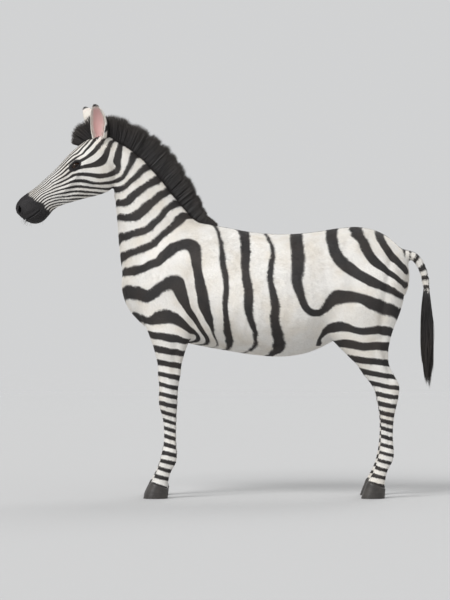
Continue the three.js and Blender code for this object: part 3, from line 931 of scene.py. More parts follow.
# %% Guides of the stripes
FACE_TURNS = (0, 30, 60, 90, 120, 150, 180)      # degrees round the head, from the nose bridge
NOSE_PHASE = -0.22                # a little below 0, so that the middle stripe doesn't break
FACE = {                          # HEAD station: phase at each turn
    10: (NOSE_PHASE, 3.2, 6.6, 9.8, 12.6, 14.4, 15.4),
    8: (NOSE_PHASE, 2.9, 5.8, 8.6, 11.0, 12.8, 13.8),
    6: (NOSE_PHASE, 2.4, 4.6, 7.0, 9.2, 10.9, 11.9),
    5: (NOSE_PHASE, 2.3, 4.2, 6.2, 8.1, 9.7, 10.7),
    4: (NOSE_PHASE, 2.3, 4.2, 5.8, 7.3, 8.7, 9.6),
    3: (0.4, 2.6, 4.4, 5.7, 6.8, 7.9, 8.6),
    2: (2.4, 3.6, 4.8, 5.8, 6.6, 7.3, 7.8),
}
NOSE_LINE = np.arange(4.5, 11.6, 0.5)            # more HEAD stations where the middle stripe is held
NECK_BANDS = {                    # NECK station: phase on the crest, the side and the throat
    7: (7.0, 7.0, None), 6: (8.0, 8.05, 8.9), 5: (9.05, 9.15, 9.5), 4: (10.15, 10.25, 10.7),
    3: (11.3, 11.5, 12.0), 2: (12.3, 12.65, 13.1), 1: (13.1, 13.75, None),
}
TRUNK_BANDS = {                   # TRUNK station: phase on the back, the side and the belly
    4: (13.6, 14.5, 15.0), 5: (12.6, 13.08, 12.8), 6: (11.5, 11.9, 11.5), 7: (10.4, 10.7, 10.5),
    8: (9.5, 9.65, 10.4), 9: (8.75, None, 10.5), 10: (7.8, None, 10.5), 11: (6.9, None, None),
    12: (6.15, None, None), 0: (14.3, None, 15.0), 1: (None, None, 15.7), 2: (None, None, 16.4),
    3: (None, None, 16.4),
}
FORE_BANDS = np.array([           # height in millimetres, phase
    (820, 16.2), (750, 17.1), (690, 18.0), (632, 19.0), (580, 20.0), (530, 21.0), (484, 22.0), (442, 23.0),
    (402, 24.0), (364, 25.0), (326, 26.0), (288, 27.0), (250, 28.0), (212, 29.0), (176, 30.0), (140, 31.0),
    (100, 32.0), (60, 33.0),
], float)
HIND_BANDS = np.array([
    (860, 10.2), (795, 11.0), (725, 11.9), (652, 13.0), (585, 14.0), (526, 15.1), (474, 16.25),
    (423, 17.5), (369, 18.85), (292, 20.9), (220, 22.8), (184, 23.8), (136, 25.1), (86, 26.5), (60, 27.2),
], float)
FLANK_GUIDES = [                  # sketch x and z, off the midline, phase
    (-400, 1180, 140, 14.2), (-430, 1080, 170, 14.75), (-450, 1000, 190, 15.15), (-470, 900, 195, 15.7),
    (-530, 1100, 165, 14.15), (-560, 980, 175, 14.8), (-560, 880, 180, 15.55), (-330, 1100, 200, 13.95),
    (-330, 1000, 210, 14.25), (-330, 900, 210, 14.5), (-310, 820, 200, 14.6), (-250, 1000, 230, 13.6),
    (-250, 850, 215, 13.8), (-250, 770, 170, 13.8), (-120, 800, 225, 12.4), (60, 780, 225, 10.9),
    (250, 1180, 220, 9.3), (250, 1100, 245, 9.45), (250, 1000, 262, 9.6), (250, 900, 260, 9.85),
    (250, 760, 200, 10.5), (160, 676, 120, 10.5), (225, 705, 150, 10.5), (330, 1180, 205, 8.9),
    (330, 1100, 235, 9.15), (330, 1000, 238, 9.65), (330, 900, 232, 10.4), (440, 1180, 200, 8.1),
    (440, 1100, 225, 8.6), (440, 1000, 235, 9.5), (440, 900, 235, 10.4), (540, 1180, 160, 7.3),
    (540, 1100, 195, 8.0), (540, 1000, 210, 9.1), (540, 900, 215, 10.1), (628, 1060, 150, 7.5),
    (648, 960, 130, 8.7), (640, 870, 128, 9.9), (664, 1050, 40, 7.4), (664, 975, 40, 8.4),
    (640, 1120, 60, 6.3),
]
TAIL_START = 6.3                  # phase where the tail leaves the rump
TAIL_BAND = 46                    # millimetres from one stripe of the tail to the next


def on_rows(rows, t, turn):
    """A loft's point at a station and a turn in degrees, with y positive, in metres."""
    x, y, z = section(station(numbers(rows), t), np.array([math.radians(turn)]))[0]
    return x, abs(y), z


def guide(rows, t, turn, phase, found):
    if phase is not None:
        found.append((*on_rows(rows, t, turn), phase))


guides = []
for t, phases in FACE.items():
    for turn, phase in zip(FACE_TURNS, phases):
        guide(HEAD, t, turn, phase, guides)
for t in NOSE_LINE:
    guide(HEAD, t, 0, NOSE_PHASE, guides)
for rows, bands in ((NECK, NECK_BANDS), (TRUNK, TRUNK_BANDS)):
    for t, phases in bands.items():
        for turn, phase in zip((0, 90, 180), phases):
            guide(rows, t, turn, phase, guides)
for rows, bands, first in ((FORELEG, FORE_BANDS, 4), (HINDLEG, HIND_BANDS, 3)):
    for t in np.arange(first, CORONET_ROW + 0.1, 0.5):
        for turn in (0, 90, 180, 270):
            x, y, z = on_rows(rows, t, turn)
            phase = np.interp(-z / MM, -bands[:, 0], bands[:, 1])
            guides.append((x, y, z, phase + 0.22 * math.cos(math.radians(turn))))
guides += [((x + SHIFT_X) * MM, y * MM, z * MM, phase) for x, z, y, phase in FLANK_GUIDES]
guides = np.array(guides)
print("stripe guides:", len(guides))


# %% The phase everywhere
def distances(a, b):
    squares = (a ** 2).sum(1)[:, None] + (b ** 2).sum(1) - 2 * a @ b.T
    return np.sqrt(np.maximum(squares, 0))


def fit_field(places, values):
    """Weights of the radial functions and of a plane, which give the values at the places."""
    count = len(places)
    plane = np.hstack([np.ones((count, 1)), places])
    system = np.zeros((count + 4, count + 4))
    system[:count, :count] = distances(places, places)
    system[:count, count:] = plane
    system[count:, :count] = plane.T
    return np.linalg.lstsq(system, np.append(values, np.zeros(4)), rcond=None)[0]


def waves(points, length, seed):
    """Smooth noise in three channels: a few sine waves in random directions, about -1 to 1."""
    rng = np.random.default_rng(seed)
    total = np.zeros((len(points), 3))
    for _ in range(7):
        way = rng.normal(size=3)
        way *= 2 * math.pi / length / np.linalg.norm(way) * rng.uniform(0.7, 1.4)
        total += np.sin(points @ way + rng.uniform(0, 6.3))[:, None] * rng.normal(size=3) * 0.45
    return total


field = fit_field(guides[:, :3], guides[:, 3])
tail_line = np.array([station(numbers(TAIL), t)[:4] for t in np.linspace(1, len(TAIL) - 1, 61)])
tail_line = (tail_line[:, :2] + tail_line[:, 2:]) / 2
tail_length = np.append(0, np.cumsum(np.linalg.norm(np.diff(tail_line, axis=0), axis=1)))


def tail_phase(points):
    """The phase along the tail, and how much a point belongs to it."""
    flat = sketch(points)
    off = distances(flat, tail_line)
    near_line = ramp(38, 30, off.min(axis=1)) * ramp(38, 32, np.abs(points[:, 1]) / MM)
    belongs = ramp(655, 680, flat[:, 0]) * near_line
    return TAIL_START + tail_length[off.argmin(axis=1)] / TAIL_BAND, belongs


def phase_at(points):
    """The stripe phase of points on the skin."""
    fineness = 1 - 0.78 * ramp(-0.45, -0.62, points[:, 0]) * ramp(1.3, 1.42, points[:, 2])
    fineness *= 1 - 0.6 * ramp(0.8, 0.6, points[:, 2])
    bent = points + (0.0085 * waves(points, 0.21, 11) + 0.0013 * waves(points, 0.06, 12)) * fineness[:, None]
    bent[:, 1] = np.abs(bent[:, 1])
    result = []
    for block in np.array_split(bent, max(1, len(bent) // 8000)):
        plane = np.hstack([np.ones((len(block), 1)), block])
        body = distances(block, guides[:, :3]) @ field[:-4] + plane @ field[-4:]
        tail, belongs = tail_phase(block)
        result.append(body + (tail - body) * belongs)
    return np.concatenate(result)


USUAL_PERIOD = 0.115              # metres between stripes, past which the dark ones widen less


def widening(points, phase, ties):
    """Below 1 where stripes lie further apart than usual, so that the dark ones stay slender."""
    a, b = ties.T
    slope = np.abs(phase[a] - phase[b]) / np.maximum(np.linalg.norm(points[a] - points[b], axis=1), 1e-4)
    steepest = np.zeros(len(points))
    np.maximum.at(steepest, a, slope)
    np.maximum.at(steepest, b, slope)
    for _ in range(6):
        steepest = relax(steepest[:, None], ties, np.full(len(points), 0.5), 1)[:, 0]
    return np.minimum(1, steepest * USUAL_PERIOD) ** 0.6


def darkness(points, phase):
    """How much of each stripe's period is dark."""
    x, z = sketch(points).T
    on_ribs = ramp(-340, -220, x) * ramp(330, 200, x) * ramp(640, 700, z)
    height = np.clip((z - 690) / 540, 0, 1)
    alternate = 0.68 + 0.43 * np.cos(math.pi * phase) * (2 * height - 1)
    wide = 0.50 + 0.05 * waves(points, 0.25, 13)[:, 0]
    y = np.abs(points[:, 1]) / MM
    inner_leg = ramp(118, 95, y) * ramp(760, 700, z)
    groin = ramp(115, 65, y) * ramp(560, 660, z) * ramp(930, 850, z) * ramp(190, 250, x) * ramp(650, 600, x)
    belongs = tail_phase(points)[1]
    under_tail = ramp(78, 30, y) * ramp(570, 612, x) * ramp(1118, 1085, z) * (1 - belongs)
    tail_root = 4 * belongs * (1 - belongs)      # where the body's stripes give way to the tail's
    bare = np.max([groin, under_tail, tail_root], axis=0)
    return wide * (1 + on_ribs * (alternate - 1)) * (1 - 0.35 * inner_leg) * (1 - 1.25 * bare)


# %% Dark and pink places
def ear_leaf(share):
    """Radius, half the arc and curl of an ear at shares of its length."""
    radius, arc = (np.interp(share, EAR_LEAF[:, 0], EAR_LEAF[:, k]) for k in (1, 2))
    return radius, np.radians(arc), ear_curl(radius, share)


def ear_place(points, side):
    """Share of an ear's length, distance from its axis as a part of its radius there, and how
    far round its arc."""
    back = np.array(ear_matrix(side).inverted())
    local = (points @ back[:3, :3].T + back[:3, 3]) / MM
    share = (local[:, 2] + EAR_SUNK) / (EAR["length"] + EAR_SUNK)
    radius, arc, curl = ear_leaf(share)
    turn = np.abs(np.arctan2(local[:, 1], local[:, 0] - curl)) / arc
    return share, np.hypot(local[:, 0] - curl, local[:, 1]) / radius, turn


def inside_ears(points):
    """1 on the hollow side of an ear, 1 on its bare pink part, and the share of the ear's length."""
    inner, bare, shares = np.zeros((3, len(points)))
    for side in (LEFT, RIGHT):
        share, reach, turn = ear_place(points, side)
        on_ear = (share > 0.17) & (share < 1.05) & (reach < 1.12)
        hollow = ramp(0.97, 0.9, reach)
        rim = ramp(0.86, 0.58, turn) * ramp(0.96, 0.80, share)
        inner = np.where(on_ear, hollow, inner)
        bare = np.where(on_ear, hollow * rim, bare)
        shares = np.where(on_ear, share, shares)
    return inner, bare, shares


def tones(points):
    """Dark skin on muzzle, eyelids, spine and belly line, and pink skin in the ears."""
    s, u = head_su(points).T
    y = np.abs(points[:, 1]) / MM
    x, z = sketch(points).T
    edge = 424 + 0.2 * u + 7 * waves(points, 0.05, 14)[:, 0]
    muzzle = ramp(0, 9, s - edge) * (z > 1100)
    lids = ramp(1.16, 0.98, round_eye(points) + 0.035 * waves(points, 0.03, 15)[:, 0])
    spine = ramp(9, 6, y) * ramp(-330, -270, x) * ramp(1100, 1150, z)
    belly = ramp(8, 4, y) * ramp(-380, -300, x) * ramp(240, 160, x) * ramp(900, 800, z)
    down_tail = ramp(7, 4, y) * ramp(690, 700, x) * ramp(0, 0.5, (x - 745 + 0.02 * (z - 900)) / 20)
    inner, bare, share = inside_ears(points)
    tip = ramp(0.90, 0.95, share)
    band = ramp(0.30, 0.34, share) * ramp(0.50, 0.45, share) * (1 - inner)
    dark = np.max([muzzle, lids, spine, 0.9 * belly, 0.9 * down_tail, tip, band], axis=0)
    return dark, bare


def round_eye(points):
    """Below 1 on the dark skin round an eye, which reaches furthest at its front corner."""
    found = np.full(len(points), 9.0)
    for side in (LEFT, RIGHT):
        front, top, out = (np.array(v) for v in eye_axes(side))
        off = (points - eye_centres[side]) / MM
        a, b, height = off @ front, off @ top, off @ out
        ahead = (a - 2) / np.where(a > 2, 36, 29)
        above = (b - 0.25 * np.maximum(-a, 0)) / np.where(b > 0, 23, 19)
        found = np.minimum(found, np.where(height > -30, np.hypot(ahead, above), 9))
    return found


points = points_of(skin_bm)
phase = phase_at(points)
dark, pink = tones(points)
wide = darkness(points, phase) * widening(points, phase, ties_of(skin_bm))
wide[inside_ears(points)[2] > 0] = -0.2
print(f"phases from {phase.min():.1f} to {phase.max():.1f}")

# %% The skin as an object
FLESH = ("trunk", "neck", "head", "tail", "ear_left", "ear_right",
         "foreleg_left", "foreleg_right", "hindleg_left", "hindleg_right")


def give(mesh, name, *columns):
    """Stores up to three numbers at each of a mesh's points."""
    values = np.zeros((len(mesh.vertices), 3), np.float32)
    for k, column in enumerate(columns):
        values[:, k] = column
    attribute = mesh.attributes.new(name, "FLOAT_VECTOR", "POINT")
    attribute.data.foreach_set("vector", values.ravel())


def mesh_object(name, mesh, material, slot, *nodes):
    """A finished piece: linked, on the root body and in its nodes' places; its slot is not used."""
    piece = linked(name, mesh)
    mesh.materials.append(material)
    mesh.polygons.foreach_set("use_smooth", np.full(len(mesh.polygons), True))
    mesh.update()
    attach(piece, "root")
    if nodes:
        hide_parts(*nodes)
    return piece


def lie_masks(points):
    """How much of a point's hair runs down a leg, and along the head."""
    x, z = sketch(points).T
    legs = ramp(900, 760, z) * (1 - ramp(640, 690, z) * ramp(-320, -260, x) * ramp(230, 180, x))
    s, u = head_su(points).T
    head = ramp(-10, 40, s) * (z > 1250) * ramp(-215, -190, u)
    return legs, head


skin_mesh = mesh_from(skin_bm, "skin")
give(skin_mesh, "stripe", phase, wide)
give(skin_mesh, "tone", dark, pink, 0.5)
give(skin_mesh, "lie", *lie_masks(points))

# %% [markdown]
# ## Materials
#
# A small class lets shader formulas be written as sums and products: every operation adds a
# node. Hair is off-white or charcoal by the stripe's phase, and each tuft carries a random
# tone of its own, with painted shade along it: darker at the root, lighter at the tip. The
# skin under the tufts has the same markings, and a bump of fine stretched noise for the
# shortest hair, which runs with the coat's lie on trunk, legs and head.

# %% Shader maths
class Value:
    """An output socket that can be calculated with."""

    def __init__(self, tree, socket):
        self.tree, self.socket = tree, socket

    def node(self, kind, inputs=None, output=0, **settings):
        """A new node in this tree, with its settings and what goes into its inputs."""
        made = self.tree.nodes.new(kind)
        for name, setting in settings.items():
            setattr(made, name, setting)
        for name, value in (inputs or {}).items():
            if isinstance(value, Value):
                self.tree.links.new(value.socket, made.inputs[name])
            else:
                made.inputs[name].default_value = value
        return Value(self.tree, made.outputs[output])

    def maths(self, operation, *others):
        return self.node("ShaderNodeMath", dict(enumerate((self, *others))), operation=operation)

    def __add__(self, other):
        return self.maths("ADD", other)

    def __sub__(self, other):
        return self.maths("SUBTRACT", other)

    def __mul__(self, other):
        return self.maths("MULTIPLY", other)

    def __truediv__(self, other):
        return self.maths("DIVIDE", other)

    __radd__ = __add__
    __rmul__ = __mul__

    def __rsub__(self, other):
        return self * -1 + other

    def size(self):
        return self.maths("ABSOLUTE")

    def hypot(self, other):
        return (self * self + other * other).maths("SQRT")

    def ramp(self, low, high, start=0.0, end=1.0):
        """From start at low to end at high, smooth between."""
        inputs = {0: self, 1: low, 2: high, 3: start, 4: end}
        return self.node("ShaderNodeMapRange", inputs, interpolation_type="SMOOTHSTEP")

    def blend(self, first, second):
        """The first colour where this is 0, the second where it is 1."""
        return self.node("ShaderNodeMix", {0: self, 6: first, 7: second}, 2, data_type="RGBA")

    def times(self, factor):
        """This colour or vector, scaled."""
        return self.node("ShaderNodeVectorMath", {0: self, 3: factor}, operation="SCALE")

    def stretched(self, x, y, z):
        return self.node("ShaderNodeVectorMath", {0: self, 1: (x, y, z)}, operation="MULTIPLY")

    def noise(self, scale, detail=2.0):
        return self.node("ShaderNodeTexNoise", {"Vector": self, "Scale": scale, "Detail": detail})

    def parts(self):
        split = self.tree.nodes.new("ShaderNodeSeparateXYZ")
        self.tree.links.new(self.socket, split.inputs[0])
        return [Value(self.tree, output) for output in split.outputs]


class Finish:
    """A Principled material and the places where its formulas start."""

    def __init__(self, name, roughness, **sockets):
        self.material = bpy.data.materials.new(name)
        self.material.use_nodes = True
        self.tree = self.material.node_tree
        self.shader = self.tree.nodes["Principled BSDF"]
        self.set("Roughness", roughness)
        for socket, value in sockets.items():
            self.set(socket.replace("_", " "), value)

    def set(self, socket, value):
        if isinstance(value, Value):
            self.tree.links.new(value.socket, self.shader.inputs[socket])
        else:
            self.shader.inputs[socket].default_value = value

    def attribute(self, name, output=1):
        made = self.tree.nodes.new("ShaderNodeAttribute")
        made.attribute_name = name
        return Value(self.tree, made.outputs[output])

    def place(self):
        return Value(self.tree, self.tree.nodes.new("ShaderNodeTexCoord").outputs["Object"])

    def bump(self, height, distance, strength=1.0):
        self.set("Normal", height.node("ShaderNodeBump", {
            "Height": height, "Distance": distance, "Strength": strength}))


# %% Coat materials
WHITE = (0.84, 0.82, 0.785, 1)
CREAM = (0.78, 0.735, 0.665, 1)
CHARCOAL = (0.030, 0.028, 0.028, 1)
BROWN = (0.046, 0.038, 0.034, 1)
MUZZLE = (0.022, 0.020, 0.021, 1)
PINK = (0.74, 0.47, 0.45, 1)


def marked_coat(name, soft_edge, **sockets):
    """The stripes and tones that skin and tufts share."""
    finish = Finish(name, 0.62, **sockets)
    phase, width, _ = finish.attribute("stripe").parts()
    dark, pink, tone = finish.attribute("tone").parts()
    from_middle = ((phase + 0.5).maths("FRACT") - 0.5).size()
    stripe = (from_middle - width * 0.5).ramp(-soft_edge, soft_edge, 1.0, 0.0)
    patches = finish.place().noise(9.0)
    light = patches.ramp(0.35, 0.75).blend(WHITE, CREAM)
    hair = patches.ramp(0.3, 0.8).blend(CHARCOAL, BROWN)
    colour = stripe.blend(light, hair)
    colour = pink.blend(colour, PINK)
    colour = dark.blend(colour, MUZZLE)
    # The third tone channel scales the colour: a tuft's random tone plus the painted shade along it, darker
    # at the root and lighter at the tip.
    finish.set("Base Color", colour.times(tone.ramp(0, 1, 0.78, 1.18)))
    return finish


coat_skin = marked_coat("coat_skin", 0.035, Specular_IOR_Level=0.3)
place = coat_skin.place()
legs_mask, head_mask, _ = coat_skin.attribute("lie").parts()
along_x = place.stretched(120, 700, 700).noise(1.0)
along_z = place.stretched(800, 800, 150).noise(1.0)
tipped = place.node("ShaderNodeMapping", {"Vector": place, "Rotation": (0, -HEAD_PITCH, 0)})
along_head = tipped.stretched(220, 1300, 1300).noise(1.0)
hairs = along_x + (along_z - along_x) * legs_mask
hairs = hairs + (along_head - hairs) * head_mask
coat_skin.bump(hairs, 0.0012, 0.6)

skin = mesh_object("skin", skin_mesh, coat_skin.material, "coat", *FLESH)
print("skin triangles:", sum(len(p.vertices) - 2 for p in skin_mesh.polygons))

# %% [markdown]
# ## The coat
#
# Each tuft is a small kite of four triangles: a root, two shoulders, a raised middle and a
# tip. Its root is a random point of the skin, chosen by area and by how fine the coat is
# there. It leans along the lie of the coat, which a short table gives in side view. Calling
# an operator for each of 360,000 tufts would be slow, so all tufts of a piece are worked out
# at once as arrays. Their colours come from their roots, with painted shade along each tuft
# that darkens its root and lightens its tip.
#
# For the export each tuft also has a place on a map, `OFBake`: a patch three thousandths wide
# where its root lies on an unwrap of the skin.

# %% Skin as triangles, with its unwrap
bpy.context.view_layer.objects.active = skin
skin.select_set(True)
skin_mesh.uv_layers.new(name="unwrap")
bpy.ops.object.mode_set(mode="EDIT")
bpy.ops.mesh.select_all(action="SELECT")
bpy.ops.uv.smart_project(angle_limit=1.2, island_margin=0.001)
bpy.ops.object.mode_set(mode="OBJECT")


def read(collection, name, width, kind=np.float32):
    """One property of every item in a collection, as an array."""
    values = np.empty(len(collection) * width, kind)
    collection.foreach_get(name, values)
    return values.reshape(-1, width) if width > 1 else values


skin_mesh.calc_loop_triangles()
corners = read(skin_mesh.loop_triangles, "vertices", 3, np.int32)
loops = read(skin_mesh.loop_triangles, "loops", 3, np.int32)
unwrap = read(skin_mesh.uv_layers["unwrap"].data, "uv", 2)
skin_mesh.uv_layers.remove(skin_mesh.uv_layers["unwrap"])
skin_points = read(skin_mesh.vertices, "co", 3).astype(float)
skin_normals = read(skin_mesh.vertices, "normal", 3).astype(float)
edge_one, edge_two = (skin_points[corners[:, k]] - skin_points[corners[:, 0]] for k in (1, 2))
areas = np.linalg.norm(np.cross(edge_one, edge_two), axis=1) / 2
middles = skin_points[corners].mean(axis=1)
print(f"skin area {areas.sum():.2f} square metres")

# %% How the coat lies
LIE = np.array([                  # sketch x and z, and degrees: 0 is back, -90 down, -140 down the nose
    (-1120, 1330, -140), (-960, 1480, -140), (-1010, 1400, -135), (-840, 1620, -135), (-830, 1500, -105),
    (-800, 1450, -60), (-900, 1400, -120), (-760, 1680, -70), (-600, 1560, -45), (-600, 1400, -60),
    (-705, 1300, -82), (-500, 1150, -60), (-660, 1000, -88), (-500, 1000, -68), (-400, 820, -72),
    (-470, 650, -90), (-460, 300, -90), (-480, 80, -85), (-300, 1280, -12), (0, 1250, -4), (300, 1270, -4),
    (0, 1000, -16), (-200, 900, -28), (0, 700, -8), (200, 720, -6), (260, 950, -35), (450, 1250, -18),
    (600, 1180, -48), (500, 1050, -48), (500, 850, -70), (650, 1000, -84), (500, 680, -80), (580, 520, -86),
    (570, 350, -90), (530, 120, -85), (640, 1150, -12), (700, 1140, -35), (750, 1060, -78), (760, 900, -90),
], float)


def lie_of_coat(points, normals, rng):
    """The unit way that hair points, along the skin."""
    flat = sketch(points)
    ways = np.stack([np.cos(np.radians(LIE[:, 2])), np.sin(np.radians(LIE[:, 2]))], 1)
    near = 1 / (((flat[:, None] - LIE[None, :, :2]) ** 2).sum(2) + 900) ** 2
    flat_way = near @ ways
    way = np.stack([flat_way[:, 0], np.zeros(len(points)), flat_way[:, 1]], 1)
    for side in (LEFT, RIGHT):
        share, reach, _ = ear_place(points, side)
        on_ear = (share > 0.12) & (share < 1.06) & (reach < 1.15)
        way[on_ear] = np.array(ear_matrix(side))[:3, 2]
    way /= np.linalg.norm(way, axis=1)[:, None]
    way += 0.16 * waves(points, 0.12, 21) + rng.normal(size=way.shape) * 0.10
    way -= normals * (way * normals).sum(1)[:, None]
    return way / np.linalg.norm(way, axis=1)[:, None]


# %% Where tufts grow, and how big
def coat_sizes(points, normals):
    """Tufts per square metre, and each tuft's length, width and rise in millimetres."""
    s = head_su(points)[:, 0]
    z = sketch(points)[:, 1]
    legs, head = lie_masks(points)
    _, bare, on_ear = inside_ears(points)
    fine = np.clip(np.maximum(head * ramp(-20, 120, s), on_ear > 0), 0, 1)
    nose = head * ramp(330, 450, s)
    eyes = round_eye(points)
    at_eye = ramp(1.3, 0.8, eyes)
    per_area = 64e3 * (1 - fine) + 215e3 * fine + legs * 75e3
    length = 10.0 - 5.6 * fine - 0.9 * nose - 4.4 * legs - 0.8 * at_eye
    width = 1.9 - 0.95 * fine - 0.1 * nose - 0.65 * legs - 0.1 * at_eye
    rise = 2.9 - 1.9 * fine - 0.15 * nose - 1.2 * legs - 0.2 * at_eye
    lids = ramp(0.66, 0.74, eyes)
    nostrils = ramp(14, 21, nearest(points, nostril_centres))
    above, ahead = from_mouth(points)
    lips = 1 - ramp(-4, 2, ahead) * ramp(4, 2.5, np.abs(above)) * (s > 400)
    in_hoof = (z < 62) & (np.abs(normals[:, 2]) > 0.9)
    return per_area * lids * nostrils * lips * (1 - bare) * ~in_hoof, length, width, rise


def scatter(density, rng):
    """Random places on the skin: the triangle and the three corner weights of each."""
    expected = areas * density
    total = int(expected.sum())
    chosen = np.searchsorted(np.cumsum(expected), np.sort(rng.uniform(0, expected.sum(), total)))
    a, b = rng.uniform(size=(2, total))
    flip = a + b > 1
    a, b = np.where(flip, 1 - a, a), np.where(flip, 1 - b, b)
    return np.minimum(chosen, len(areas) - 1), np.stack([1 - a - b, a, b], 1)


def spread(values, chosen, weights):
    """Values of the skin's points at places on its triangles."""
    return (values[corners[chosen]] * weights.reshape(-1, 3, *[1] * (values.ndim - 1))).sum(axis=1)


rng = np.random.default_rng(5)
middle_normals = np.cross(edge_one, edge_two) / (2 * areas[:, None] + 1e-12)
chosen, weights = scatter(coat_sizes(middles, middle_normals)[0], rng)
roots = spread(skin_points, chosen, weights)
root_normals = spread(skin_normals, chosen, weights)
root_normals /= np.linalg.norm(root_normals, axis=1)[:, None]
root_phase = spread(phase, chosen, weights)
root_wide = spread(wide, chosen, weights)
root_tones = spread(np.stack([dark, pink], 1), chosen, weights)
root_uv = (unwrap[loops[chosen]] * weights[:, :, None]).sum(axis=1)
BLOCKS = 20                       # fewer tufts at a time take less memory
blocks = zip(np.array_split(roots, BLOCKS), np.array_split(root_normals, BLOCKS))
ways = np.concatenate([lie_of_coat(*block, rng) for block in blocks])
_, length, width, rise = coat_sizes(roots, root_normals)
print("tufts:", len(roots))

# %% Tufts as meshes
def mesh_of(name, points, triangles):
    """A mesh from arrays of points and triangles."""
    mesh = bpy.data.meshes.new(name)
    mesh.vertices.add(len(points))
    mesh.loops.add(triangles.size)
    mesh.polygons.add(len(triangles))
    mesh.vertices.foreach_set("co", np.asarray(points, np.float32).ravel())
    mesh.loops.foreach_set("vertex_index", np.asarray(triangles, np.int32).ravel())
    mesh.polygons.foreach_set("loop_start", np.arange(len(triangles), dtype=np.int32) * 3)
    mesh.update(calc_edges=True)
    return mesh


def map_patches(mesh, triangles, owner, centres, offsets):
    """The OFBake map: each tuft's points lie about its root's place on the unwrap."""
    layer = mesh.uv_layers.new(name="OFBake")
    spots = centres[owner] + offsets
    layer.data.foreach_set("uv", np.asarray(spots[triangles.ravel()], np.float32).ravel())


PATCH = 0.003                     # width of a tuft's patch on the map
SHOULDERS, MIDDLE = 0.38, 0.46    # shares of a tuft's length
KITE = np.array([(0, 2, 3), (0, 3, 1), (2, 4, 3), (3, 4, 1)])      # root, left, right, middle, tip
KITE_PATCH = PATCH * np.array([(0, -0.5), (0.5, -0.1), (-0.5, -0.1), (0, 0), (0, 0.5)])
# Painted shade along each tuft: its root is darker, where the tufts overlap, and its tip lighter, as if lit.
KITE_PAINTED_SHADING = np.array([-0.22, 0.0, 0.0, 0.06, 0.14])
KITE_POINTS = len(KITE_PAINTED_SHADING)
PIECE = 48000                     # tufts to a piece

coat_hair = marked_coat("coat_hair", 0.02, Specular_IOR_Level=0.35)
coat_pieces = []
jitter = rng.uniform(0.75, 1.2, size=(3, len(roots)))
tone = np.clip(0.5 + rng.normal(size=len(roots)) * 0.13 + 0.08 * waves(roots, 0.3, 22)[:, 0], 0.1, 0.9)
tuft_sizes = np.array([length, width, rise]) * jitter * MM
for first in range(0, len(roots), PIECE):
    part = slice(first, first + PIECE)
    root, normal, way = roots[part], root_normals[part], ways[part]
    side = np.cross(normal, way)
    long, broad, high = tuft_sizes[:, part, None]
    kite = np.stack([
        root + normal * 0.0001,
        root + way * long * SHOULDERS + side * broad / 2 + normal * high * 0.3,
        root + way * long * SHOULDERS - side * broad / 2 + normal * high * 0.3,
        root + way * long * MIDDLE + normal * (high * 0.45 + broad * 0.14),
        root + way * long + normal * high,
    ], axis=1)
    count = len(root)
    triangles = (np.arange(count)[:, None, None] * KITE_POINTS + KITE).reshape(-1, 3)
    mesh = mesh_of(f"coat_{len(coat_pieces) + 1}", kite.reshape(-1, 3), triangles)
    owner = np.repeat(np.arange(count), KITE_POINTS)
    # Each tuft's random tone plus the painted shade along it: darker root, lighter tip.
    shade = tone[part][owner] + np.tile(KITE_PAINTED_SHADING, count)
    give(mesh, "stripe", root_phase[part][owner], root_wide[part][owner])
    give(mesh, "tone", *root_tones[part][owner].T, shade)
    map_patches(mesh, triangles, owner, root_uv[part], np.tile(KITE_PATCH, (count, 1)))
    coat_pieces.append(mesh_object(mesh.name, mesh, coat_hair.material, "coat"))
print("coat pieces:", len(coat_pieces), "with", 4 * len(roots), "triangles")

# %% [markdown]
# ## Long hair
#
# Mane, forelock, tail, lashes, whiskers and the hair in the ears are locks: thin tapered
# tubes along a curved line, closed at both ends, again made as arrays.

# %% Locks
def locks(name, roots, ways, bends, lengths, radii, sides=4, steps=5, flat=0.6):
    """A mesh of tapered tubes. Bends is how far each tip is drawn aside, in metres."""
    count = len(roots)
    share = np.linspace(0, 1, steps + 1)[None, :, None]
    line = roots[:, None] + ways[:, None] * lengths[:, None, None] * share + bends[:, None] * share ** 2
    along = ways[:, None] * lengths[:, None, None] + 2 * bends[:, None] * share
    along /= np.linalg.norm(along, axis=2)[:, :, None]
    across = np.cross(along, np.array([0.0, 1.0, 0.0]) + 1e-3 * along[:, :1, ::-1])
    across /= np.linalg.norm(across, axis=2)[:, :, None]
    other = np.cross(along, across)
    turns = ring_turns(sides)[None, None, :, None]
    thick = (radii[:, None, None] * (1 - share) ** 0.55)[:, :-1, None]
    rings = (line[:, :-1, None] + across[:, :-1, None] * np.cos(turns) * thick
             + other[:, :-1, None] * np.sin(turns) * thick * flat)
    body = rings.reshape(count, -1, 3)
    points = np.concatenate([body, line[:, -1:]], axis=1)
    faces = []
    for k in range(sides):
        after = (k + 1) % sides
        for ring in range(steps - 1):
            a, b = ring * sides + k, ring * sides + after
            faces += [(a, b, b + sides), (a, b + sides, a + sides)]
        last = (steps - 1) * sides
        faces.append((last + k, last + after, steps * sides))
    faces += [(0, k + 1, k) for k in range(1, sides - 1)]
    per_lock = steps * sides + 1
    triangles = (np.arange(count)[:, None, None] * per_lock + np.array(faces)).reshape(-1, 3)
    mesh = mesh_of(name, points.reshape(-1, 3), triangles)
    shade = np.append(np.repeat(np.linspace(0, 1, steps + 1)[:-1], sides), 1)
    return mesh, np.repeat(np.arange(count), per_lock), np.tile(shade, count)


def uv_near(points):
    """The unwrap's places under points near the skin."""
    found = []
    for point in points:
        _, _, index, _ = skin_tree.find_nearest(Vector(point))
        found.append(unwrap[loops[index]].mean(axis=0))
    return np.array(found)


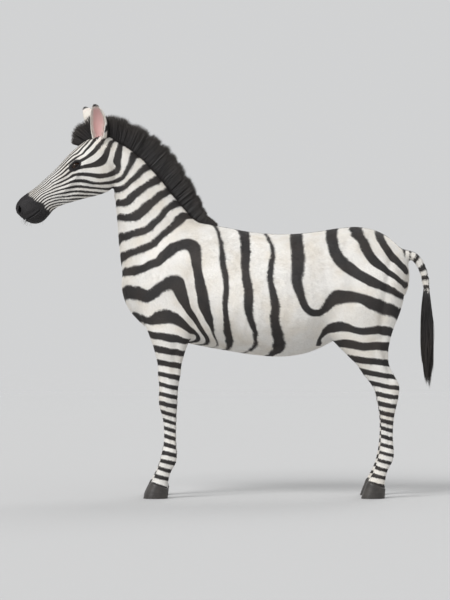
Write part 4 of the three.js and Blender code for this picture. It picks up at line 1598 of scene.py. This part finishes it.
def hair_piece(name, data, finish, slot, tone, *nodes, **shape):
    """Locks with a tone each and their map patches, as a piece."""
    mesh, owner, share = locks(name, *data, **shape)
    give(mesh, "strand", share, tone[owner])
    triangles = read(mesh.loops, "vertex_index", 1, np.int32)
    offsets = PATCH * np.stack([(tone[owner] - 0.5) * 0.6, share - 0.5], 1)
    map_patches(mesh, triangles, owner, uv_near(data[0]), offsets)
    mesh_object(name, mesh, finish.material, slot, *nodes)
    print(name, len(mesh.polygons), "triangles")


def hair_finish(name, root_colour, tip_colour, from_share=0.3):
    finish = Finish(name, 0.5, Specular_IOR_Level=0.4)
    share, tone, _ = finish.attribute("strand").parts()
    colour = share.ramp(from_share, 1.05).blend(root_colour, tip_colour)
    finish.set("Base Color", colour.times(tone.ramp(0, 1, 0.55, 1.6)))
    return finish


dark_hair = hair_finish("dark_hair", (0.024, 0.022, 0.022, 1), (0.045, 0.038, 0.034, 1))
pale_hair = hair_finish("pale_hair", (0.60, 0.50, 0.44, 1), (0.80, 0.76, 0.70, 1))
skin_tree = BVHTree.FromPolygons([tuple(p) for p in skin_points], [tuple(c) for c in corners])

# %% Mane and forelock
MANE = np.array([                 # crest x and z, degrees that the hair stands, length, half width
    (-884, 1659, 16, 34, 7), (-858, 1675, 24, 72, 14), (-826, 1693, 40, 96, 19),
    (-790, 1708, 62, 106, 22), (-742, 1702, 86, 112, 23), (-678, 1672, 109, 118, 24),
    (-606, 1622, 123, 124, 25), (-540, 1562, 131, 126, 25), (-482, 1498, 136, 120, 25),
    (-432, 1432, 139, 108, 24), (-385, 1372, 138, 90, 22), (-338, 1322, 132, 66, 18),
    (-288, 1294, 122, 38, 12), (-232, 1280, 112, 12, 6),
], float)
MANE_LOCKS = 4600
MANE_SUNK = 14                    # how deep the roots sit


def mane_locks(rng):
    steps = np.linalg.norm(np.diff(MANE[:, :2], axis=0), axis=1)
    along = np.concatenate([[0], np.cumsum(steps)])
    spots = rng.uniform(0, along[-1], MANE_LOCKS)
    x, z, angle, length, half = (np.interp(spots, along, column) for column in MANE.T)
    off = rng.uniform(-1, 1, MANE_LOCKS)
    clumps = np.sin(spots / 21.0 + 0.8 * np.sin(spots / 63.0)) ** 8
    notch = np.maximum(clumps * rng.uniform(0.6, 1.0, MANE_LOCKS), 0)
    length = length * (1 - 0.05 * off ** 2) * (1 - 0.13 * notch) * rng.uniform(0.93, 1.03, MANE_LOCKS)
    angle = np.radians(angle + rng.normal(size=MANE_LOCKS) * 2.6 + 5 * np.sin(spots / 47.0))
    way = np.stack([-np.cos(angle), 0.05 * off + rng.normal(size=MANE_LOCKS) * 0.012, np.sin(angle)], 1)
    roots = np.stack([x + SHIFT_X, off * half * 0.8, z], 1) * MM - way * MANE_SUNK * MM
    bend = np.stack([rng.normal(size=MANE_LOCKS) * 3, -off * half * 0.55,
                     rng.normal(size=MANE_LOCKS) * 3], 1) * MM
    return roots, way, bend, (length + MANE_SUNK) * MM, rng.uniform(1.5, 2.6, MANE_LOCKS) * MM


hair_rng = np.random.default_rng(8)
mane_data = mane_locks(hair_rng)
mane_tone = np.clip(0.5 + hair_rng.normal(size=MANE_LOCKS) * 0.2, 0, 1)
hair_piece("mane_hair", mane_data, dark_hair, "mane_hair", mane_tone, "mane")

# %% Tail tuft
TUFT = np.array([                 # height, middle x, half width of the solid tuft
    (1000, 757, 18), (862, 760, 16), (820, 761, 25), (750, 761, 33),
    (675, 762, 34), (605, 763, 30), (548, 766, 21), (505, 770, 9),
], float)
TUFT_LOCKS = 1500
TUFT_CLUMPS = 46                  # locks of one clump end side by side
TAIL_RADIUS = 12                  # where the locks start, from the middle of the tail


def level_ways(turn):
    return np.stack([np.cos(turn), np.sin(turn), np.zeros(len(turn))], 1)


def tuft_locks(rng):
    clump = rng.integers(TUFT_CLUMPS, size=TUFT_LOCKS)
    clump_turn = rng.uniform(0, 2 * math.pi, TUFT_CLUMPS)
    clump_depth = rng.uniform(0.1, 1, TUFT_CLUMPS) ** 0.6
    clump_end = 512 + 200 * rng.uniform(0, 1, TUFT_CLUMPS) ** 1.3
    start = rng.uniform(850, 985, TUFT_LOCKS)
    out = level_ways(clump_turn[clump] + rng.normal(size=TUFT_LOCKS) * 0.5)
    level = -TUFT[:, 0]
    stem = np.interp(-start, level, TUFT[:, 1])
    roots = np.stack([stem + SHIFT_X, np.zeros(TUFT_LOCKS), start], 1) + out * TAIL_RADIUS
    end = np.maximum(clump_end[clump] + rng.uniform(-8, 46, TUFT_LOCKS), 506)
    depth = np.clip(clump_depth[clump] + rng.normal(size=TUFT_LOCKS) * 0.12, 0, 1)
    tips = level_ways(clump_turn)[clump] * (np.interp(-end, level, TUFT[:, 2]) * depth * 0.9)[:, None]
    tips += rng.normal(size=(TUFT_LOCKS, 3)) * (1.6, 1.6, 0)
    tips[:, 0] += np.interp(-end, level, TUFT[:, 1]) - stem
    length = start - end
    bulge = (62 * depth * rng.uniform(0.75, 1.05, TUFT_LOCKS))[:, None]
    way = out * bulge / length[:, None] + np.array([0, 0, -1.0])
    bend = tips - out * (TAIL_RADIUS + bulge)
    return roots * MM, way, bend * MM, length * MM, rng.uniform(1.0, 2.0, TUFT_LOCKS) * MM


tuft_data = tuft_locks(hair_rng)
tuft_tone = np.clip(0.5 + hair_rng.normal(size=TUFT_LOCKS) * 0.2, 0, 1)
hair_piece("tail_hair", tuft_data, dark_hair, "mane_hair", tuft_tone, "tail_tuft", steps=9)

# %% Hair in the ears
EAR_LOCKS = 420


def joined(found):
    """Rows of arrays, each column as one array."""
    return [np.concatenate(columns) for columns in zip(*found)]


def ear_locks(rng):
    """Pale hair along an ear's rims, leaning over its hollow."""
    found = []
    for side in (LEFT, RIGHT):
        matrix = np.array(ear_matrix(side))
        share = rng.uniform(0.16, 0.95, EAR_LOCKS)
        radius, arc, curl = ear_leaf(share)
        turn = rng.choice([-1, 1], EAR_LOCKS) * arc * rng.uniform(0.88, 1.0, EAR_LOCKS)
        inner = radius - ear_wall(radius) * 0.9
        height = -EAR_SUNK + (EAR["length"] + EAR_SUNK) * share
        root = np.stack([inner * np.cos(turn) + curl, inner * np.sin(turn), height], 1)
        lean = 0.9 * rng.uniform(0.5, 1.2, EAR_LOCKS)
        way = np.array([0, 0, 1.0]) - level_ways(turn) * lean[:, None]
        way += rng.normal(size=(EAR_LOCKS, 3)) * 0.12
        way /= np.linalg.norm(way, axis=1)[:, None]
        length = rng.uniform(12, 26, EAR_LOCKS) * (1.15 - 0.75 * share)
        bend = rng.normal(size=(EAR_LOCKS, 3)) * 1.2
        bend[:, 2] += 0.35 * length
        turned = matrix[:3, :3].T
        found.append((root @ turned * MM + matrix[:3, 3], way @ turned, bend @ turned * MM, length * MM,
                      rng.uniform(0.35, 0.6, EAR_LOCKS) * MM))
    return joined(found)


ear_data = ear_locks(hair_rng)
ear_tone = np.clip(0.45 + hair_rng.normal(size=2 * EAR_LOCKS) * 0.15, 0, 1)
hair_piece("ear_hair", ear_data, pale_hair, "coat", ear_tone, sides=3, steps=4)

# %% Lashes and whiskers
def lash_locks(rng, count=34):
    found = []
    for side in (LEFT, RIGHT):
        front, top, out = (np.array(v) for v in eye_axes(side))
        turn = np.linspace(0.30, 2.75, count) + rng.normal(size=count) * 0.02
        a, b = (np.interp(turn, FAN, column) for column in LID_OUTLINE.T)
        rise = np.sqrt((EYE["radius"] + LID - 1.0) ** 2 - a ** 2 - b ** 2)
        on_lid = front * a[:, None] + top * b[:, None] + out * rise[:, None]
        root = eye_centres[side] + on_lid * MM
        spray = a[:, None] / 30 + rng.normal(size=(count, 1)) * 0.05
        way = out + front * spray + top * 0.25
        way /= np.linalg.norm(way, axis=1)[:, None]
        length = rng.uniform(13, 19, count)
        bend = top * 12.0 + front * spray * 6
        found.append((root, way, bend * MM, length * MM, np.full(count, 0.55) * MM))
    return joined(found)


def whisker_locks(rng, count=64):
    found = []
    while len(found) < count:
        index = rng.integers(len(middles))
        place, normal = middles[index], middle_normals[index]
        s, u = head_su(place[None])[0]
        on_lips = 430 < s and -95 < u < 18 and place[2] > 1.0
        if on_lips and nearest(place[None], nostril_centres)[0] > 16 and normal[2] < 0.4:
            way = normal + np.array([-0.35, 0, -0.3]) + rng.normal(size=3) * 0.25
            found.append((place, way / np.linalg.norm(way), rng.uniform(12, 30)))
    root, way, length = (np.array(column) for column in zip(*found))
    bend = np.zeros((count, 3)) + np.array([0, 0, -0.003])
    return root, way, bend, length * MM, np.full(count, 0.32) * MM


for name, data in (("lashes", lash_locks(hair_rng)), ("whiskers", whisker_locks(hair_rng))):
    tone = np.full(len(data[0]), 0.3)
    hair_piece(name, data, dark_hair, "mane_hair", tone, sides=3, steps=4, flat=1.0)

# %% [markdown]
# ## Hooves and eyes
#
# The hooves carry on the legs' own rows, with fine growth rings and a band at the coronet
# that tucks under the skin. An eye is a ball with the cornea's extra bulge in front. Its iris
# and level pupil are drawn by how far each point lies along and above the middle of the eye.

# %% Hooves
hoof_finish = Finish("hoof_horn", 0.42, Specular_IOR_Level=0.45)
horn_place = hoof_finish.place()
grain = horn_place.stretched(620, 620, 16).noise(1.0, 3.0)
rings = horn_place.stretched(7, 7, 260).noise(1.0, 3.0)
cloud = horn_place.noise(26.0)
horn = cloud.ramp(0.3, 0.7).blend((0.036, 0.032, 0.030, 1), (0.056, 0.050, 0.045, 1))
hoof_finish.set("Base Color", horn.times((grain * 0.5 + rings * 0.5).ramp(0.3, 0.7, 0.84, 1.16)))
hoof_finish.set("Roughness", rings.ramp(0.3, 0.7, 0.40, 0.56))
hoof_finish.bump(rings + grain * 0.35, 0.0009, 0.5)

HOOF_RINGS = 44


def hoof(rows, side):
    """A hoof from just inside the leg down to its sole. Each stage is a place in the rows and
    how many millimetres inside them the ring lies."""
    table = numbers(rows)
    last = len(table) - 1
    stages = [(CORONET_ROW - 0.35, 9.0), (CORONET_ROW - 0.1, 4.5), (CORONET_ROW, 1.6)]
    for k in range(HOOF_RINGS + 1):
        t = CORONET_ROW + 0.05 + (last - CORONET_ROW - 0.05) * k / HOOF_RINGS
        growth = 0.14 * math.sin(k * 1.9) + 0.16 * math.sin(k * 0.77 + 1.0)
        stages.append((t, 0.35 + growth - 0.5 * bell(k, 2, 2)))
    stages[-1] = (last, 0.8)
    stages[-2] = (stages[-2][0], 0.1)
    outline = [section(station(table, t), ring_turns(48), side, inset) for t, inset in stages]
    bm = extrude_rings(bmesh.new(), outline, 0, 0)
    bmesh.ops.recalc_face_normals(bm, faces=bm.faces)
    return bm


for legs_name, rows in (("fore_hoof", FORELEG), ("hind_hoof", HINDLEG)):
    for side_name, side in (("left", LEFT), ("right", RIGHT)):
        name = f"{legs_name}_{side_name}"
        hoof_mesh = mesh_from(hoof(rows, side), name)
        mesh_object("horn_" + name, hoof_mesh, hoof_finish.material, "hoof_horn", name)
        print(name, len(hoof_mesh.polygons), "faces")

# %% Eyes
CORNEA = math.radians(42)         # half the angle of the clear front of the eye
PUPIL = {"half_length": 0.36, "half_height": 0.19}      # parts of the eye's radius
eye_finish = Finish("eye", 0.06, Specular_IOR_Level=0.12, Coat_Weight=0.3, Coat_Roughness=0.02)
along_eye, above_eye, _ = eye_finish.attribute("gaze").parts()
pupil = (along_eye / PUPIL["half_length"]).hypot(above_eye / PUPIL["half_height"])
fibres = eye_finish.attribute("gaze").stretched(16, 16, 0).noise(1.0, 3.0)
colour = fibres.ramp(0.3, 0.7).blend((0.012, 0.006, 0.004, 1), (0.034, 0.015, 0.007, 1))
colour = pupil.ramp(0.9, 1.12, 1.0, 0.0).blend(colour, (0.002, 0.002, 0.003, 1))
colour = along_eye.hypot(above_eye).ramp(0.70, 0.78).blend(colour, (0.030, 0.020, 0.016, 1))
eye_finish.set("Base Color", colour)

for side_name, side in (("left", LEFT), ("right", RIGHT)):
    front, top, out = eye_axes(side)
    centre = Vector(eye_centres[side])
    radius = EYE["radius"] * MM
    across = out.cross(front).normalized()
    spokes = [front * math.cos(turn) + across * math.sin(turn) for turn in ring_turns(48)]
    ball_rings = []
    for angle in np.linspace(math.radians(3), math.radians(176), 44):
        bulge = 1 + 0.055 * max(0, 1 - (angle / CORNEA) ** 2) ** 1.5
        ball_rings.append([centre + (out * math.cos(angle) + spoke * math.sin(angle)) * radius * bulge
                           for spoke in spokes])
    ball = extrude_rings(bmesh.new(), ball_rings, 0.1, 0.02)
    bmesh.ops.recalc_face_normals(ball, faces=ball.faces)
    eye_mesh = mesh_from(ball, f"eyeball_{side_name}")
    off = (read(eye_mesh.vertices, "co", 3) - np.array(centre)) / radius
    give(eye_mesh, "gaze", *(off @ np.array(axis) for axis in (front, top, out)))
    mesh_object(f"eyeball_{side_name}", eye_mesh, eye_finish.material, "eye", f"eye_{side_name}")
    print("eyeball", side_name, len(eye_mesh.polygons), "faces")

# %% [markdown]
# ## Stage
#
# A wide pale floor fades out into an even pale world, so that every view has the same calm
# surroundings. The world lights the animal evenly. Two suns as wide as big soft lamps, a
# bright one in front and a weaker one behind, give it form and its shadow on the floor.

# %% Floor, world and lamps
FLOOR_RADIUS = 16.0

floor_bm = bmesh.new()
bmesh.ops.create_circle(floor_bm, cap_ends=True, segments=96, radius=FLOOR_RADIUS)
floor_mesh = mesh_from(floor_bm, "floor")
floor_finish = Finish("pale_floor", 0.85, Specular_IOR_Level=0.15)
floor_finish.set("Base Color", (0.50, 0.50, 0.50, 1))
floor_place = floor_finish.place()
far = floor_place.node("ShaderNodeVectorMath", {0: floor_place}, 1, operation="LENGTH")
floor_finish.set("Alpha", far.ramp(3.0, FLOOR_RADIUS - 1, 1.0, 0.0))
floor_mesh.materials.append(floor_finish.material)
floor = linked("floor", floor_mesh)

world = bpy.data.worlds.new("world")
world.use_nodes = True
background = world.node_tree.nodes["Background"].inputs
background["Color"].default_value = (0.64, 0.645, 0.65, 1)
background["Strength"].default_value = 1.0
bpy.context.scene.view_settings.view_transform = "Standard"
bpy.context.scene.world = world


def lamp(name, place, spread, strength):
    """Even light from the way of a place, as wide as a disc of `spread` degrees in the sky."""
    data = bpy.data.lights.new(name, "SUN")
    data.angle = math.radians(spread)
    data.energy = strength
    aimed(name, data, place, (0, 0, 0))


lamp("key", (-3.2, -4.6, 5.2), 26, 2.1)
lamp("back", (2.6, 4.8, 4.6), 40, 0.8)
